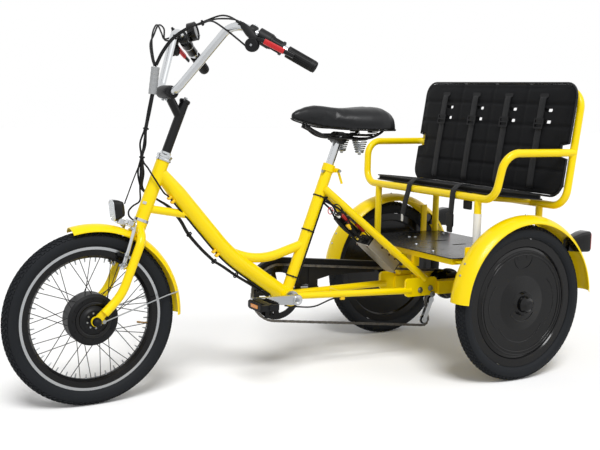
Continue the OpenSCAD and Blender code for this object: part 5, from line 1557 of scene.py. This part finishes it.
@dataclass
class Drivetrain:
    """Reflectors, caps and bolts of the pedals, the crank and the rear drive."""

    pedals: tuple[tuple[str, float, float, float], ...] = (("left", -811.8, -133.0, 274.0),
                                                           ("right", -508.2, 133.0, 258.0))
    pedal_end: float = 46.0
    reflector_x: float = 31.8
    arm_face: float = 80.0
    pulleys: tuple[Pair, ...] = ((-30.0, 189.0), (-58.0, 119.0))
    # Edge of the plate behind the chain, as places along the tricycle and heights
    guard: tuple[Pair, ...] = (
        (-717, 345), (-668, 352), (-618, 355), (-556, 353), (-435, 350), (-270, 346), (-269, 306),
        (-352, 308), (-455, 306), (-508, 295), (-565, 281), (-591, 295), (-627, 329), (-662, 336),
        (-697, 321))

    def reflectors(self) -> None:
        """Sets the amber reflectors in the pedals, on their own bodies."""
        for side, x, y, z in self.pedals:
            lens = Shape()
            for turn in (-1, 1):
                seat = seat_at(by_rear(x + turn * self.reflector_x, y, z), Vector((turn, 0, 0)), SIDEWAYS)
                lens.block(seat, (42, 10.6, 2.6), 1.5, 0.7)
            lens.piece(f"pedal_reflectors_{side}", AMBER_ACRYLIC, f"{side}_pedal", "red_lens")
            out = math.copysign(1, y)
            end = Spot(by_rear(x, y + out * self.pedal_end, z), SIDEWAYS * out, UPWARDS)
            heads(f"pedal_cap_{side}", [end], 15.0, 5.0, f"{side}_pedal", sides=16, taper=0.8,
                  finish=BLACK_NYLON, slot="black_plastic")

    def caps(self) -> None:
        """Caps the crank's axle on both sides."""
        caps, bolts = Shape(), []
        cap = ((-2, 13), (0.5, 14.6), (2, 14.2), (2.6, 11), (1.6, 9.6), (1.8, 0))
        for side in (-1, 1):
            face = Vector((CRANK_HUB.x, side * self.arm_face / 1000, CRANK_HUB.z))
            caps.turned(cap, face, SIDEWAYS * side, 36)
            bolts.append(Spot(face + SIDEWAYS * side * 0.0016, SIDEWAYS * side, UPWARDS))
        caps.piece("crank_caps", CHROME, "crank", "chrome")
        heads("crank_bolts", bolts, 11.0, 4.0, "crank")
        shell = Shape()
        for radius, start in ((23.5, 34.0), (20.0, 37.0)):
            shell.turned([(0, radius - 4), (0, radius), (2, radius), (3.4, radius - 1.4), (3.4, radius - 4)],
                         Vector((CRANK_HUB.x, -start / 1000, CRANK_HUB.z)), -SIDEWAYS, 40, loop=True)
        shell.piece("bottom_bracket_rings", CHROME, "frame", "chrome")

    def pulley_sides(self) -> None:
        """Covers the pulleys' flanks and bolts them."""
        discs, bolts = Shape(), []
        flank = ((2.0, 15), (3.4, 14.4), (3.9, 12), (3.0, 8), (3.4, 0))
        for x, z in self.pulleys:
            discs.turned_both(flank, by_rear(x, 50, z), 28)
            bolts.append(Spot(by_rear(x, 46, z), -SIDEWAYS, UPWARDS))
        discs.piece("pulley_sides", BLACK_NYLON, "frame", "black_plastic")
        heads("pulley_bolts", bolts, 8.0, 4.0, "frame")

    def guard_side(self) -> None:
        """Closes the chain guard behind the chain's upper run."""
        seat = seat_at(by_rear(0, 60.5, 0), SIDEWAYS, Vector((1, 0, 0)))
        Shape().plate([(x, -z) for x, z in self.guard], seat, 2.4, 0.6).piece(
            "chain_guard_side", BLACK_NYLON, "frame", "black_plastic")

    def build(self) -> None:
        """Builds the drivetrain's fittings."""
        self.guard_side()
        self.reflectors()
        self.caps()
        self.pulley_sides()


@dataclass
class Electrics:
    """Controller, pouch, plugs and wires between the rear stays."""

    slope: Run = ((0.766, 0, -0.642), (0.642, 0, 0.766))
    box_from: Place = (-297.3, 0.0, 414.1)
    pouch_from: Place = (-425.4, 0.0, 521.5)
    pouch_size: Place = (110.0, 34.0, 46.0)
    # The first three are thick, the others are thin
    runs: tuple[Run, ...] = (
        ((-545, -12, 582), (-523, -14, 574), (-500, -22, 551), (-490, -26, 532), (-470, -27, 520),
         (-448, -27, 498), (-425, -29, 470), (-395, -27, 441), (-360, -14, 431)),
        ((-545, -6, 580), (-521, -8, 566), (-503, -16, 556), (-478, -28, 540), (-452, -29, 516),
         (-430, -30, 482), (-402, -28, 446), (-362, 0, 433)),
        ((-545, 0, 578), (-524, -4, 560), (-508, -20, 540), (-494, -24, 515), (-470, -24, 492),
         (-440, -25, 462), (-404, -23, 432), (-366, 14, 429)),
        ((-500, -18, 552), (-484, -27, 556), (-470, -29, 540), (-480, -29, 522), (-496, -27, 527),
         (-492, -24, 542)),
        ((-380, -24, 466), (-366, -26, 452), (-352, -24, 440)))

    def place(self, origin: Place, x: float, y: float, z: float) -> Vector:
        """Finds a place under the stays, from millimetres along them, sideways and out of their plane."""
        along, out = (Vector(way) for way in self.slope)
        return by_rear(*origin) + (along * x + SIDEWAYS * y + out * z) / 1000

    def controller(self) -> None:
        """Puts end plates, a flange, ribs and screws on the controller."""
        along, out = (Vector(way) for way in self.slope)
        ends, flange, screws = Shape(), Shape(), []
        for x, thick in ((-52.5, 9), (94, 4)):
            ends.block(seat_at(self.place(self.box_from, x, 0, -25.3), along, SIDEWAYS), (64, 36, thick), 5)
        gland = ((0, 6), (9, 6), (11, 4.6), (16, 3.4))
        for y in (-14, 0, 14):
            ends.turned(gland, self.place(self.box_from, -56, y, -25), -along, 16)
        ends.piece("controller_ends", BLACK_NYLON, "frame", "black_plastic")
        rim = seat_at(self.place(self.box_from, 24, 0, -43.8), -out, along)
        flange.plate(rounded_outline(162, 66, 6), rim, 3, 0.8)
        for side in (-1, 1):
            for z in (-36, -25, -14):
                rib = seat_at(self.place(self.box_from, 22, side * 31.4, z), SIDEWAYS * side, along)
                flange.block(rib, (134, 3, 1.6), 1, 0.5)
        flange.piece("controller_flange", CAST_ALUMINIUM, "frame", "aluminium")
        for x, z in ((-307, 404), (-277, 379), (-253, 363)):
            screws.append(Spot(by_rear(x, -31.6, z), -SIDEWAYS, along))
        for x in (-51, 99):
            for y in (30, -30):
                screws.append(Spot(self.place(self.box_from, x, y, -45.4), -out, along))
        heads("controller_screws", screws, 7.0, 2.4, "frame", sides=12, taper=0.85, finish=BROWN_STEEL)

    def pouch(self) -> None:
        """Builds the sagging wiring pouch with its flap."""
        length, wide, high = self.pouch_size
        rings = []
        for step in range(9):
            t = step / 8
            belly = math.sin(math.pi * t)
            swell = 0.78 + 0.2 * belly
            rings.append([self.place(self.pouch_from, 20 + (t - 0.5) * (length - 8), u * swell,
                                     -31.3 + v * (0.84 + 0.08 * belly) - 3 * belly)
                          for u, v in rounded_outline(wide - 6, high - 8, 9, 4)])
        mesh = filled(Shape().loft(rings), "pouch_skin", 3.0, 4.0)
        piece = settle(mesh, "pouch_skin", WOVEN_CLOTH, "frame", ("wiring_pouch",), 70)
        flap = smooth_path([self.place(self.pouch_from, 20 + a, 0, b) for a, b in
                            ((-50, -8), (-20, -6.5), (20, -6.5), (52, -9), (57, -18), (56, -34))], 5)
        Shape().strap(flap, 27, 1.8, SIDEWAYS).piece("pouch_flap", WEBBING, "frame", "black_cloth")

    def plugs(self) -> None:
        """Lays the plugs beside the pouch."""
        for name, finish, start, end, size in (
                ("red_plug", RED_NYLON, (-468, -24, 523), (-438, -25, 496), 13),
                ("dark_plug", RED_NYLON, (-408, -23, 489), (-376, -23, 463), 12),
                ("yellow_plug", YELLOW_NYLON, (-447, -26, 489), (-430, -26, 474), 11),
                ("white_plug", WHITE_NYLON, (-486, -25, 522), (-475, -25, 513), 9)):
            a, b = by_rear(*start), by_rear(*end)
            seat = seat_at((a + b) / 2, SIDEWAYS, b - a)
            shell = Shape().block(seat, ((b - a).length * 1000, size, size), 2.5)
            shell.block(shifted(seat, x=2, z=1), ((b - a).length * 600, size * 0.5, size), 2, 0.6)
            shell.piece(name, finish, "frame", "black_plastic")

    def wires(self) -> None:
        """Runs the wires from the seat tube past the pouch into the controller."""
        black, red, ties = Shape(), Shape(), Shape()
        for i, run in enumerate(self.runs):
            black.tube(rear_run(run), 3.4 if i < 3 else 2.4, 10)
        black.piece("controller_wires", SOFT_RUBBER, "frame", "soft_rubber")
        ring = [by_rear(-509 + 9 * math.cos(a / 3), -21, 536 + 11 * math.sin(a / 3)) for a in range(19)]
        red.tube(ring, 1.5, 8, loop=True)
        red.tube(rear_run(((-500, -22, 536), (-484, -25, 530), (-466, -24, 521))), 1.5, 8)
        red.piece("red_wires", RED_SILICONE, "frame", "soft_rubber")
        for (x, y, z), way, size in (((-523, -9, 568), (20, -6, -14), 9.5),
                                     ((-450, -28, 503), (20, -1, -24), 8.5),
                                     ((-408, -27, 449), (28, 2, -28), 8.5)):
            ties.tie(by_rear(x, y, z), Vector(way), size, -SIDEWAYS, 0.1)
        ties.piece("wire_ties", BLACK_NYLON, "frame", "black_plastic")

    def build(self) -> None:
        """Builds the electrics."""
        self.controller()
        self.pouch()
        self.plugs()
        self.wires()


@dataclass
class Fittings:
    """Bolts, rivets and caps of the frame, the bed and the fenders."""

    bed_top: float = 400.0
    bed_bolts: tuple[Pair, ...] = ((-44, 167), (-24, 158), (-127, 16), (-172, -134), (-172, 134), (140, -200),
                                   (140, 200), (140, 0))
    fender: Place = (15.0, 255.0, 284.0)

    def bolts(self) -> None:
        """Stands the bolts on the drop-outs, the seat collar and the bed."""
        spots = []
        for side in (-1, 1):
            for x, z in ((-177, 259), (-134, 262), (-124, 240)):
                spots.append(Spot(by_rear(x, side * 79, z), SIDEWAYS * side, UPWARDS))
        heads("dropout_bolts", spots, 15.0, 8.0, "frame")
        heads("dropout_washers", spots, 20.0, 2.0, "frame", sides=20, taper=1.0)
        collar = [Spot(by_rear(-527, -7, 663), Vector((-0.9, -0.4, 0.1)), UPWARDS),
                  Spot(by_rear(-486, -26, 665), -SIDEWAYS, UPWARDS)]
        heads("collar_bolts", collar, 11.0, 12.0, "frame")
        bed = [Spot(by_rear(x, y, self.bed_top), UPWARDS, SIDEWAYS) for x, y in self.bed_bolts]
        heads("bed_bolts", bed, 11.0, 3.0, "frame", sides=14, taper=0.75)

    def rivets(self) -> None:
        """Rivets the fenders near their front ends and over their stays."""
        x, z, radius = self.fender
        spots = []
        for y in (-367, 367):
            for turn in (158, 150, 90, 30):
                out = Vector((math.cos(math.radians(turn)), 0, math.sin(math.radians(turn))))
                spots.append(Spot(by_rear(x, y, z) + out * radius / 1000, out, SIDEWAYS))
        heads("fender_rivets", spots, 8.0, 2.4, "frame", sides=12, taper=0.7)

    def build(self) -> None:
        """Fits all bolts and rivets."""
        self.bolts()
        self.rivets()


@dataclass
class Bench:
    """Passenger bench: cushions, straps and buckles."""

    seat_tilt: float = 5.52
    back_tilt: float = 8.94
    seat_from: Pair = (-109.0, 588.0)
    back_from: Pair = (160.0, 562.0)
    seat_span: Pair = (20.0, 237.0)
    seat_w: float = 682.0
    seat_h: Pair = (12.8, 34.8)
    back_w: float = 780.0
    back_span: Pair = (27.0, 401.6)
    back_depth: Pair = (12.8, 37.8)
    notch: Place = (33.0, 178.0, 50.0)
    strap_y: tuple[float, ...] = (-255.0, -85.0, 85.0, 255.0)
    seams: tuple[float, ...] = (112.0, 184.0, 256.0, 328.0)
    tucks: tuple[float, ...] = (-170.0, 0.0, 170.0)
    # Depth and half width of a seam's and of a tuck's dent, and the deepest that they make together
    seam_dent: Pair = (5.0, 5.0)
    tuck_dent: Pair = (2.0, 7.0)
    dent_cap: float = 6.0
    # How far the cushions may swell past their faces, and how far they lie off their boards
    back_bulge: float = 1.5
    seat_bulge: float = 2.0
    board_gap: float = 0.2
    back_corner: float = 48.0
    holes_up: tuple[float, ...] = (310.0, 271.0)
    hole_aside: float = 26.0
    # Places up along the backrest and ahead of its face
    strap_line: tuple[Pair, ...] = (
        (357, -6), (350, 2), (334, 5), (300, 5), (268, 6), (256, 3), (200, 4), (140, 4), (84, 3), (56, 2),
        (44, -4))
    lap_w: float = 26.0
    lap_thick: float = 2.0

    def on_seat(self, along: float, y: float, up: float) -> Vector:
        """Finds a place on the seat, from millimetres along it, sideways and above its rails."""
        turn = math.radians(self.seat_tilt)
        return by_rear(self.seat_from[0] + along * math.cos(turn) + up * math.sin(turn), y,
                       self.seat_from[1] - along * math.sin(turn) + up * math.cos(turn))

    def on_back(self, up: float, y: float, ahead: float) -> Vector:
        """Finds a place on the backrest, from millimetres up along it, sideways and ahead of its tubes."""
        turn = math.radians(self.back_tilt)
        return by_rear(self.back_from[0] + up * math.sin(turn) - ahead * math.cos(turn), y,
                       self.back_from[1] + up * math.cos(turn) + ahead * math.sin(turn))

    def facing(self) -> Vector:
        """Gives the direction out of the backrest, 1 mm long."""
        return self.on_back(0, 0, 1) - self.on_back(0, 0, 0)

    def back_outline(self, inset: float) -> list[Pair]:
        """Draws the backrest's outline with its notches for the armrests.

        Args:
            inset: Distance that the outline is drawn in, in mm.

        Returns:
            Points as sideways and up along the back, in mm.
        """
        half, low, high = self.back_w / 2 - inset, self.back_span[0] + inset, self.back_span[1] - inset
        deep, mid, tall = self.notch
        corner = self.back_corner - inset
        right = []
        for step in range(7):
            angle = math.radians(-90 + 15 * step)
            right.append((half - corner + corner * math.cos(angle), low + corner + corner * math.sin(angle)))
        right += [(half, mid - tall / 2 - inset), (half - deep, mid - tall / 2 - inset + 6),
                  (half - deep, mid + tall / 2 + inset - 6), (half, mid + tall / 2 + inset)]
        for step in range(7):
            angle = math.radians(15 * step)
            right.append((half - corner + corner * math.cos(angle), high - corner + corner * math.sin(angle)))
        return right + [(-u, v) for u, v in reversed(right)]

    def back_cushion(self) -> None:
        """Builds the quilted backrest with its binding."""
        near, far = self.back_depth
        outline = self.back_outline(3.0)
        shape = Shape().loft([[self.on_back(v, u, near + 2.0) for u, v in outline],
                              [self.on_back(v, u, far - 7.0) for u, v in outline]])
        mesh = filled(shape, "back_cushion", 6.0, 6.0)
        turn = math.radians(self.back_tilt)
        normal = Vector((-math.cos(turn), 0, math.sin(turn)))
        foot = self.on_back(0, 0, 0)
        up_way = Vector((math.sin(turn), 0, math.cos(turn)))
        for vertex in mesh.vertices:
            rel = vertex.co - foot
            ahead, up, y = rel.dot(normal) * 1000, rel.dot(up_way) * 1000, vertex.co.y * 1000
            if ahead < near + self.board_gap:
                vertex.co += normal * (near + self.board_gap - ahead) / 1000
                continue
            if ahead > (near + far) / 2:
                dent = 0.0
                for (deep, half), at, lines in ((self.seam_dent, up, self.seams),
                                                (self.tuck_dent, y, self.tucks)):
                    dent += sum(deep * math.exp(-((at - line) / half) ** 2) for line in lines)
                vertex.co -= normal * min(dent, self.dent_cap) / 1000
            if ahead > far + self.back_bulge:
                vertex.co -= normal * (ahead - far - self.back_bulge) / 1000
        self.pierce(mesh)
        piece = settle(mesh, "back_cushion", WOVEN_CLOTH, "frame", ("back_pad",), 70)
        edge = [self.on_back(v, u, (near + far) / 2 + 1) for u, v in self.back_outline(0.5)]
        Shape().tube(edge, 3.6, 10, loop=True).piece("back_binding", VINYL, "frame", "black_cloth")
        stitches = []
        for line in self.seams:
            for i in range(-60, 61):
                stitches.append(Spot(self.on_back(line, i * 5.8, far - 7.2), normal, SIDEWAYS))
        Scatter("back_stitches", 4, 0.7, (4.0, 1.4, 1.2)).piece(stitches, WEBBING, "frame", "black_cloth")

    def pierce(self, mesh: bpy.types.Mesh) -> None:
        """Cuts the holes for the straps through the backrest.

        Args:
            mesh: The backrest's mesh, changed in place.
        """
        cutter = Shape()
        for y in self.strap_y:
            for up in self.holes_up:
                seat = seat_at(self.on_back(up, y - self.hole_aside, 25), self.facing(), SIDEWAYS)
                cutter.block(seat, (40, 13, 70), 4, 0.5)
        tool_mesh = cutter.mesh("hole_tool")
        tool = bpy.data.objects.new("hole_tool", tool_mesh)
        whole = bpy.data.objects.new("hole_target", mesh)
        for item in (tool, whole):
            bpy.context.scene.collection.objects.link(item)
        cut = whole.modifiers.new("holes", "BOOLEAN")
        cut.operation = "DIFFERENCE"
        cut.solver = "EXACT"
        cut.object = tool
        graph = bpy.context.evaluated_depsgraph_get()
        done = bmesh.new()
        done.from_mesh(whole.evaluated_get(graph).to_mesh())
        whole.modifiers.clear()
        done.to_mesh(mesh)
        done.free()
        for item in (tool, whole):
            bpy.data.objects.remove(item)
        bpy.data.meshes.remove(tool_mesh)

    def lap_straps(self) -> None:
        """Hangs the lap straps over the seat's front edge, with their buckles."""
        webbing, plastic, tip = Shape(), Shape(), Shape()
        ahead = Vector((-1, 0, 0))
        for y, low, lean in ((-166.0, 520.0, 8.0), (72.0, 492.0, 34.0)):
            path = [self.on_seat(60, y, 37), self.on_seat(26, y, 38), self.on_seat(8, y, 36)]
            path += [by_rear(x, y + lean * share, z)
                     for x, share, z in ((-121, 0, 606), (-125, 0.1, 580), (-125, 0.5, 545), (-124, 1, low))]
            webbing.strap(smooth_path(path, 6), self.lap_w, self.lap_thick, SIDEWAYS)
        buckle = seat_at(by_rear(-126, -158, 505), ahead, UPWARDS)
        plastic.block(buckle, (46, 32, 8), 5)
        plastic.block(shifted(buckle, x=-30), (22, 26, 6), 4)
        short_y = -212
        plastic.block(seat_at(by_rear(-98, short_y, 560), ahead, UPWARDS), (30, 38, 8), 4)
        webbing.strap([by_rear(x, short_y, z) for x, z in ((-98, 566), (-97, 582), (-92, 602))],
                      self.lap_w, self.lap_thick, SIDEWAYS)
        tip.block(seat_at(by_rear(-124, 107, 482), ahead, UPWARDS), (26, 10, 4), 2)
        webbing.piece("lap_straps", WEBBING, "frame", "black_cloth", ("lap_buckles",))
        plastic.piece("lap_strap_buckles", BLACK_NYLON, "frame", "black_plastic", ("lap_buckles",))
        tip.piece("strap_tip", WHITE_NYLON, "frame", "black_plastic")

    def seat_cushion(self) -> None:
        """Builds the thin seat cushion with its piping."""
        start, end = self.seat_span
        low, high = self.seat_h
        mid, length = (start + end) / 2, end - start
        outline = rounded_outline(length - 6, self.seat_w - 6, 38, 6)
        shape = Shape().loft([[self.on_seat(mid + u, v, low + 1.0) for u, v in outline],
                              [self.on_seat(mid + u, v, high - 6.0) for u, v in outline]])
        mesh = filled(shape, "seat_cushion", 5.0, 6.0)
        turn = math.radians(self.seat_tilt)
        normal = Vector((math.sin(turn), 0, math.cos(turn)))
        foot = self.on_seat(0, 0, 0)
        for vertex in mesh.vertices:
            up = (vertex.co - foot).dot(normal) * 1000
            if up < low + self.board_gap:
                vertex.co += normal * (low + self.board_gap - up) / 1000
            elif up > high + self.seat_bulge:
                vertex.co -= normal * (up - high - self.seat_bulge) / 1000
        piece = settle(mesh, "seat_cushion", WOVEN_CLOTH, "frame", ("seat_pad",), 70)
        piping = Shape()
        for level in (low + 3.0, high - 4.0):
            edge = rounded_outline(length - 1, self.seat_w - 1, 40, 8)
            piping.tube([self.on_seat(mid + u, v, level) for u, v in edge], 2.6, 8, loop=True)
        piping.piece("seat_piping", VINYL, "frame", "black_cloth")

    def straps(self) -> None:
        """Builds the shoulder straps with their adjusters."""
        webbing, plastic = Shape(), Shape()
        front, facing = self.back_depth[1], self.facing()
        for y in self.strap_y:
            path = smooth_path([self.on_back(u, y, front + a) for u, a in self.strap_line], 5)
            webbing.strap(path, 29, 2.2, SIDEWAYS)
            plate = seat_at(self.on_back(262, y, front + 7), facing, SIDEWAYS)
            for offset in (-15, 0, 15):
                plastic.block(shifted(plate, y=offset), (42, 5, 4), 1.5, 0.8)
            for offset in (-19, 19):
                plastic.block(shifted(plate, x=offset), (5, 35, 4.4), 1.5, 0.8)
            plastic.block(seat_at(self.on_back(356, y, front + 0.6), facing, SIDEWAYS), (42, 15, 2.6), 7, 0.6)
        webbing.piece("shoulder_straps", WEBBING, "frame", "black_cloth", ("harness",))
        plastic.piece("strap_adjusters", BLACK_NYLON, "frame", "black_plastic")

    def band(self) -> None:
        """Wraps the white reflective band on the near front leg."""
        lo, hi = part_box("bench_frame")
        centre = by_rear(-109, -275, 437)
        tape = ((0, 12.0), (0, 12.9), (101, 12.9), (101, 12.0))
        Shape().turned(tape, centre, UPWARDS, 32, loop=True).piece(
            "reflective_band", WHITE_TAPE, "frame", "black_paint")
        LOG.info("bench frame from %s to %s", tuple(round(c, 3) for c in lo), tuple(round(c, 3) for c in hi))

    def build(self) -> None:
        """Builds the bench's soft goods."""
        self.back_cushion()
        self.seat_cushion()
        self.straps()
        self.lap_straps()
        self.band()


@dataclass
class RearLamps:
    """Rear lamps: wedge bodies and red lenses."""

    y: float = 367.0
    z: float = 440.0
    high: float = 70.0
    wide: float = 50.0
    front: float = 200.0
    back: float = 288.0
    lens: float = 296.0

    def rings(self, side: float, rows: Sequence[Place], corner: float) -> list[list[Vector]]:
        """Lays outlines along a lamp.

        Args:
            side: -1 for the left, 1 for the right.
            rows: Place along the tricycle, scale of the outline and drop of its middle.
            corner: Radius of the outline's corners, in mm.

        Returns:
            The rings of points.
        """
        rings = []
        for x, scale, drop in rows:
            seat = seat_at(by_rear(x, side * self.y, self.z - drop), Vector((1, 0, 0)), UPWARDS)
            outline = rounded_outline(self.high * scale, self.wide * scale, corner * scale, 4)
            rings.append(section(seat, outline))
        return rings

    def build(self) -> None:
        """Builds both lamps."""
        bodies, lenses = Shape(), Shape()
        wedge = ((self.front, 0.55, 9), (self.front + 20, 0.7, 6), (self.front + 55, 0.92, 1.5),
                 (self.back - 8, 1.0, 0), (self.back, 0.98, 0))
        glass = ((self.back - 2, 0.9, 0), (self.back + 3, 0.9, 0), (self.lens - 1.5, 0.84, 0),
                 (self.lens, 0.7, 0))
        for side in (-1, 1):
            bodies.loft(self.rings(side, wedge, 9))
            lenses.loft(self.rings(side, glass, 8))
        bodies.piece("rear_lamp_bodies", GLOSS_ABS, "frame", "gloss_black_plastic", ("rear_lamps",))
        lenses.piece("rear_lamp_lenses", RED_ACRYLIC, "frame", "red_lens", ("rear_lenses",))


def main() -> None:
    """Builds the studio, dresses the solids and builds every sub-assembly in order."""
    logging.basicConfig(level=logging.INFO, format="%(name)s %(message)s")
    Studio().build()
    dress_solids()
    FrontWheel().build()
    RearWheel("left", joint_place("rear_left_spin"), "rear_wheel_left", -1).build()
    RearWheel("right", joint_place("rear_right_spin"), "rear_wheel_right", 1).build()
    FrontEnd().build()
    Cockpit().build()
    Cables().build()
    Saddle().build()
    Drivetrain().build()
    Electrics().build()
    Fittings().build()
    Bench().build()
    RearLamps().build()


if __name__ == "__main__":
    main()
